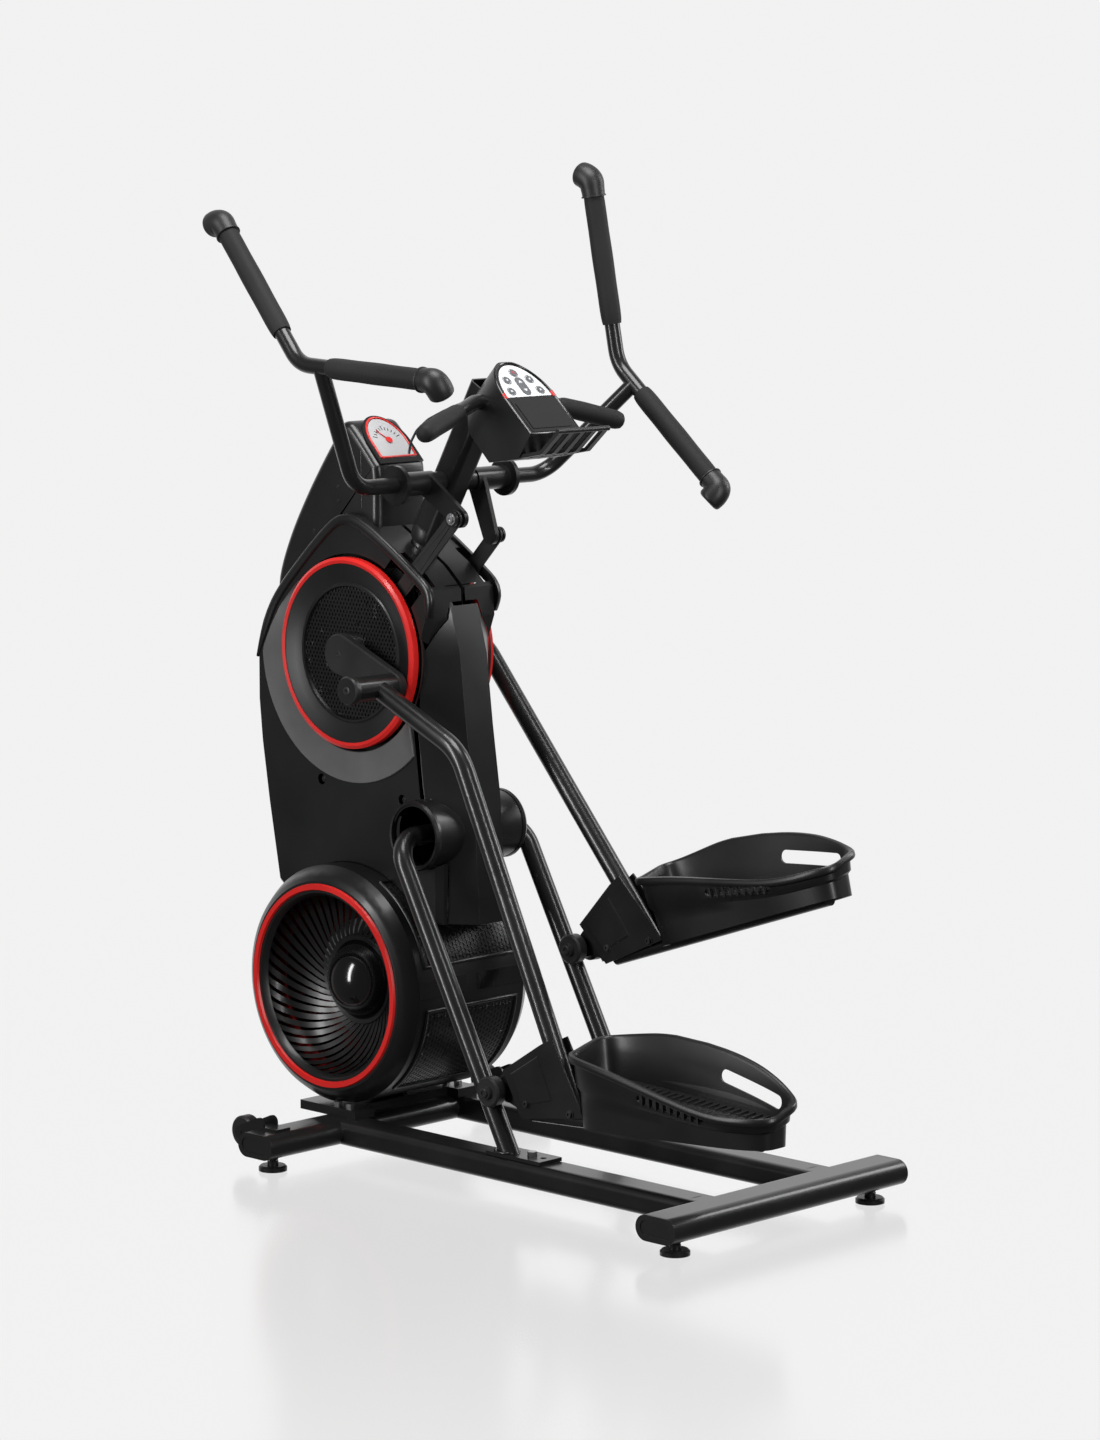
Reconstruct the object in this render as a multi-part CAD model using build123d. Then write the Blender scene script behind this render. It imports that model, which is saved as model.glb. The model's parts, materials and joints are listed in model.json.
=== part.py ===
"""Elliptical trainer with inclined roller tracks, fan drum and swinging arms.

Millimetres, +Z up, +X to the rider's right, +Y forward (the rider faces +Y).
While it is being built, Y is counted from the line of the rear feet; place() then moves every
piece so that the origin lies under the middle of the whole machine, on the floor.
"""
from build123d import *
import math
import os

os.makedirs("parts", exist_ok=True)

# ---- driving dimensions -------------------------------------------------------------------
ORIGIN_Y = 472.8            # rear-feet line to the middle of the machine

STABILIZER_DEPTH = 80.0     # racetrack tube, along Y
STABILIZER_HEIGHT = 40.0
STABILIZER_Z = 45.0         # centre height
REAR_HALF = 269.0           # half widths of the two stabilizers, over their caps
FRONT_HALF = 320.0
FRONT_Y = 828.0
RAIL_X = 133.0
RAIL_WIDTH = 62.0
FOOT_X_REAR = 225.0
FOOT_X_FRONT = 281.0
FOOT_RADIUS = 23.0
FOOT_PLATE = (348.0, 466.0) # Y range of the tracks' foot plates on the rails
RAIL_TOP = STABILIZER_Z + STABILIZER_HEIGHT / 2

TRACK_X = 142.0             # plane of the inclined tubes, rollers and leg tubes
TRACK_RADIUS = 15.9         # 31.8 mm tube
TRACK_FOOT = (431.6, 75.0)  # Y, Z of a point on the track's centre line
TRACK_DIR = (0.4787, 0.8780)
TRACK_TOP_T = 529.0         # centre-line distance from TRACK_FOOT to the top bend
ROLLER_OFFSET = 32.0        # axle to track centre line

CRANK = (850.5, 820.0)      # crank axis, Y and Z
CRANK_RADIUS = 130.0
CRANK_REST = 198.0          # angle of the left crank pin, from +Y towards +Z
ECCENTRIC = 30.0
ECCENTRIC_REST = 135.0      # angle of the left eccentric
FAN = (851.0, 279.0)        # fan axis, Y and Z
IDLER = (900.0, 520.0)      # belt idler
FAN_RADIUS = 196.0          # drum
FAN_HALF = 145.0
RING_RADIUS = 168.0

LEG_B = 141.0               # leg tube's distance behind the roller axle, across the leg
LEG_BEND_A = 515.0          # bend's height above the axle, along the leg
LEG_PIN = (671.4, 9.4)      # crank pin in the leg's own axes (along, behind)
PEDAL_DROP = 22.0           # angle of the pedal beam below the leg's own square

PIVOT = (700.0, 1103.0)     # arm pivot axis, Y and Z
ARM_SWING = 37.16           # how far the right arm stands behind the left one
ARM_TUBE = 12.7
LEVER_LENGTH = 95.0
LEVER_REST = 213.0          # angle of the left lever

MAST_DIR = (-0.4878, 0.8730)
CONSOLE = (521.5, 1244.5)   # middle of the console's face
CONSOLE_NORMAL = (0, -0.681, 0.732)
FIT = 0.05                  # radial clearance of running fits


# ---- helpers ------------------------------------------------------------------------------
def polar(centre, radius, degrees):
    """Point at an angle from +Y towards +Z."""
    a = math.radians(degrees)
    return (centre[0] + radius * math.cos(a), centre[1] + radius * math.sin(a))


def slab(face, x0, x1):
    """A flat outline given in Y and Z, made into a plate between x0 and x1."""
    return extrude(Plane.YZ.offset(min(x0, x1)) * face, abs(x1 - x0))


def outline(points):
    return Polygon(*points, align=None)


def rod(centre, radius, x0, x1, bore=0.0):
    """A cylinder along X."""
    face = Circle(radius)
    if bore:
        face -= Circle(bore)
    return slab(Pos(*centre) * face, x0, x1)


def turned(centre, profile):
    """A solid turned about the X axis through centre, from (x, radius) points."""
    face = make_face(Polyline(*[(x, centre[0] + r, centre[1]) for x, r in profile], close=True))
    return revolve(face, Axis((0, *centre), (1, 0, 0)), 360)


def tube(points, bends, radius, wall=2.0):
    """A round tube along straight runs and tangent bends."""
    path = FilletPolyline(*points, radius=bends) if bends else Polyline(*points)
    start = Plane(origin=path @ 0, z_dir=path % 0)
    face = Circle(radius)
    if wall:
        face -= Circle(radius - wall)
    return sweep(start * face, path=path)


def mirrored(part):
    return mirror(part, about=Plane.YZ)


def both(part):
    """The left piece with its mirror image on the right."""
    return [part, mirrored(part)]


def bar(p, q, width, x0, x1):
    """A flat bar with round ends from p to q, in Y and Z."""
    length = math.dist(p, q)
    middle = ((p[0] + q[0]) / 2, (p[1] + q[1]) / 2)
    angle = math.degrees(math.atan2(q[1] - p[1], q[0] - p[0]))
    return slab(Pos(*middle) * Rot(0, 0, angle) * SlotOverall(length + width, width), x0, x1)


def place(name, *pieces):
    """Moves the pieces to the machine's own origin and writes them as one node."""
    solids = [s for p in pieces for s in (p.solids() if hasattr(p, "solids") else p)]
    moved = [Pos(0, -ORIGIN_Y, 0) * s for s in solids]
    shape = moved[0] if len(moved) == 1 else Compound(children=moved)
    shape.label = name
    export_step(shape, f"parts/{name}.step")


# ---- base ---------------------------------------------------------------------------------
def stabilizer_bar(y, half, grow=0.0):
    face = Pos(y, STABILIZER_Z) * SlotOverall(STABILIZER_DEPTH + grow, STABILIZER_HEIGHT + grow)
    return slab(face, -half, half)


def stabilizer(y, half, foot_x):
    wall = 2.5
    body = stabilizer_bar(y, half) - stabilizer_bar(y, half, -2 * wall)
    for x in (-foot_x, foot_x):
        body -= Pos(x, y, STABILIZER_Z - 20) * Cylinder(5.1, 12)
    return body


def end_cap(x, y, side):
    """Oval plug with a recessed oval in its face."""
    head = stabilizer_bar(y, 4).moved(Location((x + side * 2, 0, 0)))
    head = head & Pos(x + side * 2, y, STABILIZER_Z) * Box(4, 100, 60)
    face = Pos(y, STABILIZER_Z) * SlotOverall(62, 24)
    return head - slab(face, x + side * 2.5, x + side * 6)


def foot(x, y):
    """Levelling foot: round pad, lock nut and threaded stud."""
    pad = Pos(x, y, 0) * Cylinder(FOOT_RADIUS, 9, align=(Align.CENTER, Align.CENTER, Align.MIN))
    pad = chamfer(pad.edges().group_by(Axis.Z)[-1], 3)
    neck = Pos(x, y, 8) * Cylinder(9, 8, align=(Align.CENTER, Align.CENTER, Align.MIN))
    nut = Pos(x, y, 18) * extrude(RegularPolygon(9, 6), 7)
    stud = Pos(x, y, 9) * Cylinder(5, 24, align=(Align.CENTER, Align.CENTER, Align.MIN))
    return pad + neck + nut + stud


def rail(side):
    face = Plane.XZ * RectangleRounded(RAIL_WIDTH, STABILIZER_HEIGHT, 12)
    face -= Plane.XZ * RectangleRounded(RAIL_WIDTH - 5, STABILIZER_HEIGHT - 5, 9.5)
    body = Pos(side * RAIL_X, 0, STABILIZER_Z) * extrude(face, -FRONT_Y)
    for y in (FOOT_PLATE[0] + 16, FOOT_PLATE[0] + 40):
        body -= Pos(side * RAIL_X, y, RAIL_TOP) * Cylinder(5.2, 20)
    return body - stabilizer_bar(0, REAR_HALF) - stabilizer_bar(FRONT_Y, FRONT_HALF)


place("rear_stabilizer", stabilizer(0, REAR_HALF - 4, FOOT_X_REAR))
place("front_stabilizer", stabilizer(FRONT_Y, FRONT_HALF - 4, FOOT_X_FRONT))
place("stabilizer_end_caps", *[end_cap(side * (half - 4), y, side)
                               for y, half in ((0, REAR_HALF), (FRONT_Y, FRONT_HALF))
                               for side in (-1, 1)])
place("levelling_feet", *[foot(side * x, y) for x, y in ((FOOT_X_REAR, 0), (FOOT_X_FRONT, FRONT_Y))
                          for side in (-1, 1)])
place("base_rails", rail(-1), rail(1))

# Transport wheels at the front corners
WHEEL_Y, WHEEL_Z, WHEEL_RADIUS = 899.0, 52.0, 26.0
WHEEL_X0, WHEEL_X1 = 262.0, 284.0


def transport_wheel(side):
    x0, x1 = side * WHEEL_X0, side * WHEEL_X1
    body = rod((WHEEL_Y, WHEEL_Z), WHEEL_RADIUS, x0, x1, 5 + FIT)
    body = fillet(body.edges().filter_by(GeomType.CIRCLE).group_by(SortBy.RADIUS)[-1], 4)
    return body


def wheel_bracket(side):
    """Two ears on a saddle, with the axle through them."""
    ears = []
    for x in (WHEEL_X0 - 5, WHEEL_X1 + 1):
        plate = bar((FRONT_Y + 24, 72), (WHEEL_Y, WHEEL_Z), 22, side * x, side * (x + 4))
        ears.append(plate)
    saddle = Pos(side * (WHEEL_X0 + WHEEL_X1) / 2, FRONT_Y + 6, 67) * Box(32, 44, 4)
    axle = rod((WHEEL_Y, WHEEL_Z), 5, side * (WHEEL_X0 - 7), side * (WHEEL_X1 + 7))
    body = ears[0] + ears[1] + saddle + axle
    return body - stabilizer_bar(FRONT_Y, FRONT_HALF)


for name, side in (("left", -1), ("right", 1)):
    place(f"{name}_transport_wheel", transport_wheel(side))
place("wheel_brackets", wheel_bracket(-1), wheel_bracket(1))

# ---- inclined roller tracks ---------------------------------------------------------------


def track_point(t, offset=0.0):
    """A point along the track, moved off its centre line towards the rider."""
    return (TRACK_FOOT[0] + t * TRACK_DIR[0] - offset * TRACK_DIR[1],
            TRACK_FOOT[1] + t * TRACK_DIR[1] + offset * TRACK_DIR[0])


def track(side):
    top = track_point(TRACK_TOP_T)
    low = track_point(-14)
    points = [(side * 61, *top), (side * TRACK_X, *top), (side * TRACK_X, *low)]
    body = tube(points, 46, TRACK_RADIUS, 2.6)
    body -= Pos(side * TRACK_X, low[0], RAIL_TOP - 30) * Box(80, 120, 60)
    middle = (FOOT_PLATE[0] + FOOT_PLATE[1]) / 2
    plate = Pos(side * RAIL_X, middle, RAIL_TOP + 3) * Box(50, FOOT_PLATE[1] - FOOT_PLATE[0], 6)
    for y in (FOOT_PLATE[0] + 16, FOOT_PLATE[0] + 40):
        plate -= Pos(side * RAIL_X, y, RAIL_TOP) * Cylinder(5.2, 40)
    return body + plate


def hex_bolt(x, y, z, length=10.0, size=8.0, head=7.0):
    """A bolt standing on z, its shank going down."""
    top = Pos(x, y, z) * extrude(RegularPolygon(size, 6), head)
    return top + Pos(x, y, z - length / 2) * Cylinder(size * 0.6, length)


place("incline_tubes", track(-1), track(1))

# ---- inner frame --------------------------------------------------------------------------
WEB_HALF = 4.0
BASE_PLATE_TOP = 80.0
POST_RADIUS = 21.0


def mast_point(z):
    return (PIVOT[0] + (z - PIVOT[1]) * MAST_DIR[0] / MAST_DIR[1], z)


def mast_bar(radius, low, high):
    """A round bar along the mast between two heights."""
    start, end = mast_point(low), mast_point(high)
    return Solid.make_cylinder(radius, math.dist(start, end),
                               Plane(origin=(0, *start), z_dir=(0, *MAST_DIR)))


def inner_frame():
    """A centre web that carries both axles, the mast post and the tracks' cross tube."""
    spine = slab(outline([(812, 70), (890, 70), (890, 470), (925, 700), (925, 880), (860, 950),
                          (790, 950), (672, 700), (660, 500), (740, 470), (812, 440)]),
                 -WEB_HALF, WEB_HALF)
    top = track_point(TRACK_TOP_T)
    cross = rod(top, TRACK_RADIUS, -61, 61)
    channels = Part()
    for side in (-1, 1):
        channels += Pos(side * 118, 850, 72.5) * Box(44, 130, 15)
    floor = Pos(0, 850, 72.5) * Box(240, 78, 15)
    post = mast_bar(POST_RADIUS, 900, 1150)
    bosses = rod(CRANK, 30, -14, 14) + rod(FAN, 26, -9, 9) + rod(IDLER, 14, -14, 4)
    stub = rod(IDLER, 6, 3, 40)
    body = spine + cross + channels + floor + post + bosses + stub
    body -= rod(CRANK, 22, -15, 15)
    body -= rod(FAN, 17, -15, 15)
    body -= rod(PIVOT, 10, -40, 40)
    for side in (-1, 1):
        for y in (FRONT_Y - 14, FRONT_Y + 14):
            body -= Pos(side * 124, y, 75) * Cylinder(5, 40)
    return body - stabilizer_bar(FRONT_Y, FRONT_HALF)


place("inner_frame", inner_frame())
place("bearings",
      *[rod(CRANK, 22, *sorted((side * 2, side * 13)), 12 + FIT) for side in (-1, 1)],
      *[rod(FAN, 17, *sorted((side * 1, side * 8)), 8 + FIT) for side in (-1, 1)])
place("base_fasteners",
      *[hex_bolt(side * RAIL_X, FOOT_PLATE[0] + 40, RAIL_TOP + 6, 14) for side in (-1, 1)],
      *[hex_bolt(side * 124, FRONT_Y + dy, BASE_PLATE_TOP, 12, 7, 6) for side in (-1, 1)
        for dy in (-14, 14)])

# ---- drive ---------------------------------------------------------------------------------
BELT_X0, BELT_X1 = 21.0, 35.0
BIG_PULLEY, FAN_PULLEY, IDLER_RADIUS = 140.0, 32.0, 28.0
BELT_GAP = 0.4
BELT_THICK = 3.0


def pulley(centre, radius, bore, hub):
    """A belt wheel with a hub of the given wall, a thin web and a rim."""
    return turned(centre, [(BELT_X0 - 2, bore), (BELT_X1 + 2, bore), (BELT_X1 + 2, bore + hub),
                           (BELT_X1 - 4, bore + hub), (BELT_X1 - 4, radius - 8),
                           (BELT_X1, radius - 8), (BELT_X1, radius), (BELT_X0, radius),
                           (BELT_X0, radius - 8), (BELT_X0 + 4, radius - 8),
                           (BELT_X0 + 4, bore + hub), (BELT_X0 - 2, bore + hub)])


def belt_loop(grow):
    """Outline that wraps the crank pulley and the fan pulley."""
    r1, r2 = BIG_PULLEY + grow, FAN_PULLEY + grow
    d = math.dist(CRANK, FAN)
    along = math.degrees(math.atan2(FAN[1] - CRANK[1], FAN[0] - CRANK[0]))
    open_angle = math.degrees(math.acos((r1 - r2) / d))
    a, b = polar(CRANK, r1, along + open_angle), polar(CRANK, r1, along - open_angle)
    c, e = polar(FAN, r2, along - open_angle), polar(FAN, r2, along + open_angle)
    far, near = polar(CRANK, r1, along + 180), polar(FAN, r2, along)
    edges = [ThreePointArc(a, far, b), Line(b, c), ThreePointArc(c, near, e), Line(e, a)]
    return make_face(edges)


place("drive_belt", slab(belt_loop(BELT_GAP + BELT_THICK) - belt_loop(BELT_GAP),
                         BELT_X0 + 1, BELT_X1 - 1))
place("idler_pulley", pulley(IDLER, IDLER_RADIUS, 6 + FIT, 7))

crank_angle = {-1: CRANK_REST, 1: CRANK_REST - 180}
SHAFT_END = 96.0
ECCENTRIC_RADIUS = 44.0


def crank_shaft():
    """Shaft with a bearing seat and an eccentric for each arm link."""
    body = rod(CRANK, 12, -SHAFT_END, SHAFT_END)
    for side in (-1, 1):
        centre = polar(CRANK, ECCENTRIC, ECCENTRIC_REST if side < 0 else ECCENTRIC_REST - 180)
        body += rod(centre, ECCENTRIC_RADIUS, *sorted((side * 58, side * 66)))
    return body


def crank_arm(side):
    """Teardrop arm from the shaft to the crank pin."""
    pin = polar(CRANK, CRANK_RADIUS, crank_angle[side])
    shape = make_hull((Pos(*CRANK) * Circle(33)).edges() + (Pos(*pin) * Circle(22)).edges())
    body = slab(shape, *sorted((side * SHAFT_END, side * 110)))
    outer = body.faces().sort_by(Axis.X)[-1 if side > 0 else 0]
    body = chamfer(outer.edges(), 2.5)
    return body - rod(pin, 9, *sorted((side * 100, side * 112)))


def crank_disc(side):
    """Saucer behind the crank arm: a mesh centre inside a wide plain rim."""
    s = side
    return turned(CRANK, [(s * 72, 12), (s * 95.5, 12), (s * 95.5, 24), (s * 80, 24),
                          (s * 79, 108), (s * 85, 112), (s * 90, 146), (s * 78, 146),
                          (s * 75, 108), (s * 75, 24), (s * 72, 24)])


def crank_ring(side):
    s = side
    return turned(CRANK, [(s * 79, 146), (s * 92, 146), (s * 93, 151), (s * 90, 156),
                          (s * 79, 156)])


place("crankshaft", crank_shaft())
place("crank_pulley", pulley(CRANK, BIG_PULLEY, 12, 14))
place("crank_arms", crank_arm(-1), crank_arm(1))
place("crank_discs", crank_disc(-1), crank_disc(1))
place("crank_rings", crank_ring(-1), crank_ring(1))

# ---- fan ------------------------------------------------------------------------------------
BLADES = 24
BLADE_IN, BLADE_OUT = 140.0, 168.0


def impeller_half(s, start):
    """Hub plate with a ring of blades, on side s of the web from |x| = start outwards."""
    plate = turned(FAN, [(s * start, 8), (s * (start + 7), 8), (s * (start + 7), 24),
                         (s * (start + 3), 24), (s * (start + 3), BLADE_OUT),
                         (s * start, BLADE_OUT)])
    blade = slab(Pos(*polar(FAN, (BLADE_IN + BLADE_OUT) / 2, 0)) * Rot(0, 0, 35)
                 * Rectangle(BLADE_OUT - BLADE_IN - 5, 3), s * (start + 2.5), s * 100)
    body = plate
    for i in range(BLADES):
        body += blade.rotate(Axis((0, *FAN), (1, 0, 0)), i * 360 / BLADES)
    ring = turned(FAN, [(s * 96, BLADE_IN + 2), (s * 100, BLADE_IN + 2),
                        (s * 100, BLADE_OUT - 2), (s * 96, BLADE_OUT - 2)])
    return body + ring


def fan_grille(side):
    """Bowl-shaped grille that turns in to a dome over the fan's hub."""
    s = side
    profile = [(s * 145, 156.5), (s * 141, 153), (s * 128, 143), (s * 108, 122), (s * 88, 92),
               (s * 78, 62), (s * 96, 52), (s * 108, 34), (s * 112, 0), (s * 109, 0),
               (s * 105, 33), (s * 94, 49), (s * 74, 60), (s * 84, 94), (s * 105, 125),
               (s * 126, 147), (s * 139, 156.5)]
    return turned(FAN, profile)


place("fan_shaft", rod(FAN, 8, -60, 60) + rod(FAN, 14, -60, -44))
place("fan_impeller", impeller_half(-1, 12), impeller_half(1, BELT_X1 + 4))
place("fan_pulley", turned(FAN, [(BELT_X0, 8), (BELT_X1 + 2, 8), (BELT_X1 + 2, FAN_PULLEY + 3),
                                 (BELT_X1, FAN_PULLEY + 3), (BELT_X1, FAN_PULLEY),
                                 (BELT_X0, FAN_PULLEY)]))
place("brake_disc", rod(FAN, 100, -52, -44, 14))
place("fan_grilles", fan_grille(-1), fan_grille(1))


def drum_housing():
    """Round drum: open at both ends for the grilles, with a slot where the belt comes in."""
    r, h = FAN_RADIUS, FAN_HALF
    outer = turned(FAN, [(-h, 0), (-h, RING_RADIUS + 4), (-h + 8, r - 12), (-h + 26, r),
                         (h - 26, r), (h - 8, r - 12), (h, RING_RADIUS + 4), (h, 0)])
    inner = turned(FAN, [(-h + 6, 0), (-h + 6, RING_RADIUS), (-h + 26, r - 4), (h - 26, r - 4),
                         (h - 6, RING_RADIUS), (h - 6, 0)])
    body = outer - inner - rod(FAN, 156.5, -h - 1, h + 1)
    body -= Pos(28, FAN[0], FAN[1] + r) * Box(26, 2 * BIG_PULLEY - 90, 80)
    body -= Pos(0, 852, FAN[1] + r - 20) * Box(2 * WEB_HALF + 1, 200, 60)
    body -= Pos(0, 851, FAN[1] - r + 5) * Box(2 * WEB_HALF + 1, 90, 40)
    body -= Pos(0, 850, 60) * Box(400, 400, 2 * (BASE_PLATE_TOP - 60))
    for x in (-124, 124):
        body -= Pos(x, FRONT_Y, BASE_PLATE_TOP) * Box(30, 60, 16)
    return body


place("fan_housing", drum_housing())
place("fan_rings", *both(turned(FAN, [(-145, 157), (-149, 158.5), (-149, 166.5), (-145, 168)])))

# ---- covers -----------------------------------------------------------------------------------
COVER_HALF = 78.0
RECESS_RADIUS = 161.0
WALL = 3.0
HOLE = track_point(TRACK_TOP_T)
SIDE_OUTLINE = [(1037, 423), (1062, 555), (1078, 655), (1085, 725), (1085, 800), (1040, 893),
                (975, 968), (905, 1032), (872, 1045), (840, 1040), (785, 1010), (712, 966),
                (674, 932), (670, 885), (692, 825), (700, 706), (686, 600), (650, 520),
                (650, 395), (1000, 395)]


def inset(points, amount):
    return offset(outline(points), -amount, kind=Kind.INTERSECTION)


def side_cover(side):
    """Half shell of the tower with a round recess for the crank disc."""
    s = side
    face = outline(SIDE_OUTLINE)
    body = slab(face, s * 4.2, s * COVER_HALF)
    outer = body.faces().sort_by(Axis.X)[-1 if s > 0 else 0]
    body = chamfer(outer.edges(), 10)
    body -= slab(inset(SIDE_OUTLINE, WALL + 8), s * 3, s * (COVER_HALF - WALL))
    body += rod(CRANK, RECESS_RADIUS + WALL, *sorted((s * 54, s * (COVER_HALF - 1))))
    body -= rod(CRANK, RECESS_RADIUS, *sorted((s * 57, s * 90)))
    body -= rod(CRANK, 46 + ECCENTRIC, *sorted((s * 50, s * 60)))
    body -= rod(FAN, FAN_RADIUS + 1, -100, 100)
    body -= rod(HOLE, 57, -100, 100)
    notch = Pos(*polar(CRANK, 190, 133.5)) * Rot(0, 0, 133.5) * Rectangle(180, 84)
    body -= slab(notch, *sorted((s * 55, s * 100)))
    body -= slab(outline(TOP_OUTLINE), s * (TOP_HALF + 0.5), -1)
    body -= rear_solid(0.6)
    body -= mast_bar(POST_RADIUS + 3, 860, 1160)
    for y, z in ((925, 605), (735, 590)):
        body -= rod((y, z), 9, *sorted((s * 60, s * 100)))
    return max(body.solids(), key=lambda piece: piece.volume)


TOP_HALF = 56.0
TOP_OUTLINE = [(1056, 870), (1054, 930), (1026, 998), (988, 1064), (948, 1122), (908, 1174),
               (893, 1190), (880, 1192), (812, 1122), (812, 1010), (840, 960), (930, 870)]


def top_cover():
    """Hood over the tower's top, its rear slope holding the gauge."""
    body = slab(outline(TOP_OUTLINE), -TOP_HALF, TOP_HALF)
    ends = [f.edges() for f in (body.faces().sort_by(Axis.X)[0], body.faces().sort_by(Axis.X)[-1])]
    body = chamfer(ends[0] + ends[1], 9)
    body -= slab(inset(TOP_OUTLINE, 12), -TOP_HALF + WALL, TOP_HALF - WALL)
    slope = Plane(origin=(0, 850, 1160), x_dir=(1, 0, 0), z_dir=(0, -0.716, 0.698))
    body -= slope * Pos(0, 0, 6) * Box(92, 92, 20)
    body -= Pos(0, 900, 860) * Box(2 * (TOP_HALF - WALL), 230, 40)
    body -= Pos(0, 860, 905) * Box(2 * WEB_HALF + 1, 180, 110)
    body -= rod(CRANK, BIG_PULLEY + 6, BELT_X0 - 4, BELT_X1 + 4)
    return max(body.solids(), key=lambda piece: piece.volume)


REAR_RIDGE = [(680, 930), (650, 832), (636, 720), (620, 608), (606, 390)]
REAR_SEAM = [(690, 946), (692, 825), (700, 706), (686, 600), (672, 402)]


def rear_solid(grow=0.0):
    """Tapered rear cover: a narrow spine face, slanting cheeks, and a barrel round the tracks."""
    front = 730
    sections = []
    for (ry, rz), (sy, sz) in zip(REAR_RIDGE, REAR_SEAM):
        z = (rz + sz) / 2
        half = COVER_HALF - 2 + grow
        points = [(-30 - grow, ry - grow), (30 + grow, ry - grow), (half, sy - grow),
                  (half, front), (-half, front), (-half, sy - grow)]
        sections.append(Pos(0, 0, z) * outline(points))
    body = loft(sections, ruled=True)
    return body + rod(HOLE, 55 + grow, -100 - grow, 100 + grow)


def rear_cover():
    body = rear_solid()
    inner = rear_solid(-WALL)
    body -= inner & Pos(0, 700, 660) * Box(300, 300, 540)
    body -= Pos(0, 760, 700) * Box(300, 60, 700)
    body -= rod(HOLE, 48, -101, 101)
    body -= rod(FAN, FAN_RADIUS + 1, -101, 101)
    tower = slab(inset(SIDE_OUTLINE, -0.6), -COVER_HALF - 2, COVER_HALF + 2)
    body -= tower - rod(HOLE, 57, -101, 101)
    return max(body.solids(), key=lambda piece: piece.volume)


place("left_side_cover", side_cover(-1))
place("right_side_cover", side_cover(1))
place("top_cover", top_cover())
place("rear_cover", rear_cover())

gauge_plane = Plane(origin=(0, 850, 1160), x_dir=(1, 0, 0), z_dir=(0, -0.716, 0.698))
gauge_face = Pos(0, 0) * RectangleRounded(90, 90, 20)
place("gauge_panel", extrude(gauge_plane.offset(-4) * gauge_face, 3.5))

# ---- legs and pedals ----------------------------------------------------------------------------
def axle_point(side):
    """Where the roller stands on its track for the leg to reach from there to the crank pin."""
    pin = polar(CRANK, CRANK_RADIUS, crank_angle[side])
    base = track_point(0, ROLLER_OFFSET)
    dy, dz = pin[0] - base[0], pin[1] - base[1]
    along = dy * TRACK_DIR[0] + dz * TRACK_DIR[1]
    across = dy * TRACK_DIR[1] - dz * TRACK_DIR[0]
    t = along - math.sqrt(math.hypot(*LEG_PIN) ** 2 - across ** 2)
    return track_point(t, ROLLER_OFFSET)


def leg_angle(side):
    """Lean of the leg tube from the vertical, from the pin and the roller axle."""
    axle = axle_point(side)
    pin = polar(CRANK, CRANK_RADIUS, crank_angle[side])
    lean = math.atan2(pin[0] - axle[0], pin[1] - axle[1])
    return lean + math.atan2(LEG_PIN[1], LEG_PIN[0])


def leg_plane(side):
    """Plane whose X runs up the leg and whose Y runs behind it, at the roller axle."""
    axle, lean = axle_point(side), leg_angle(side)
    return Plane(origin=(side * TRACK_X, *axle), x_dir=(0, math.sin(lean), math.cos(lean)),
                 z_dir=(1, 0, 0))


def leg_place(side, part):
    """Parts are drawn with a along X, b along Y and the machine's X along Z."""
    return leg_plane(side).location * part


def plate_ab(points, z0, z1):
    return Pos(0, 0, z0) * extrude(outline(points), z1 - z0)


def pedal_to_leg(p, q):
    """Pedal axes (back along the beam, up) to the leg's axes (along, behind)."""
    c, s = math.cos(math.radians(PEDAL_DROP)), math.sin(math.radians(PEDAL_DROP))
    return (-s * p + c * q, c * p + s * q)


NOSE_HALF = 6.0
PLATE_INNER = TRACK_RADIUS - 0.6    # the bracket's two plates are let into the leg tube a little
BRACKET = [(24, 34), (36, 132), (36, 158), (-96, 170), pedal_to_leg(60, -38)]


def leg(side):
    """Leg tube, crank-pin housing, roller bracket and pedal beam, welded together."""
    points = [(LEG_PIN[0], LEG_PIN[1], 0), (LEG_BEND_A, LEG_B, 0), (-84, LEG_B, 0)]
    tube_part = tube(points, 88, TRACK_RADIUS, 2.4)
    housing_end = -(207 - TRACK_X) * (1 if side < 0 else -1)
    inner_end = (TRACK_X - 111) * (1 if side < 0 else -1)
    z0, z1 = sorted((housing_end, inner_end))
    housing = Pos(LEG_PIN[0], LEG_PIN[1], (z0 + z1) / 2) * Cylinder(20, z1 - z0)
    body = tube_part + housing
    for z in (-PLATE_INNER - 3, PLATE_INNER):
        body += plate_ab(BRACKET, z, z + 3)
    nose = plate_ab([(13, 0), (20, 40), (30, 130), (-60, 130), (-50, 40), (-13, 0)],
                    -NOSE_HALF, NOSE_HALF)
    boss = Pos(0, 0, 0) * Cylinder(14, 2 * NOSE_HALF)
    spreader = plate_ab([(22, 36), (34, 126), (-80, 150), (-50, 36)],
                        -PLATE_INNER - 1, PLATE_INNER + 1)
    spreader -= plate_ab([(14, 42), (25, 120), (-72, 144), (-43, 42)],
                         -PLATE_INNER, PLATE_INNER)
    a0, b0 = pedal_to_leg(70, -33)
    a1, b1 = pedal_to_leg(545, -33)
    beam = Cylinder(11, math.hypot(a1 - a0, b1 - b0))
    turn = math.degrees(math.atan2(b1 - b0, a1 - a0))
    beam = Pos((a0 + a1) / 2, (b0 + b1) / 2, 0) * Rot(0, 0, turn) * Rot(0, 90, 0) * beam
    body += nose + boss + spreader + beam
    body -= Cylinder(6 + FIT, 40)
    return leg_place(side, body)


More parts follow.
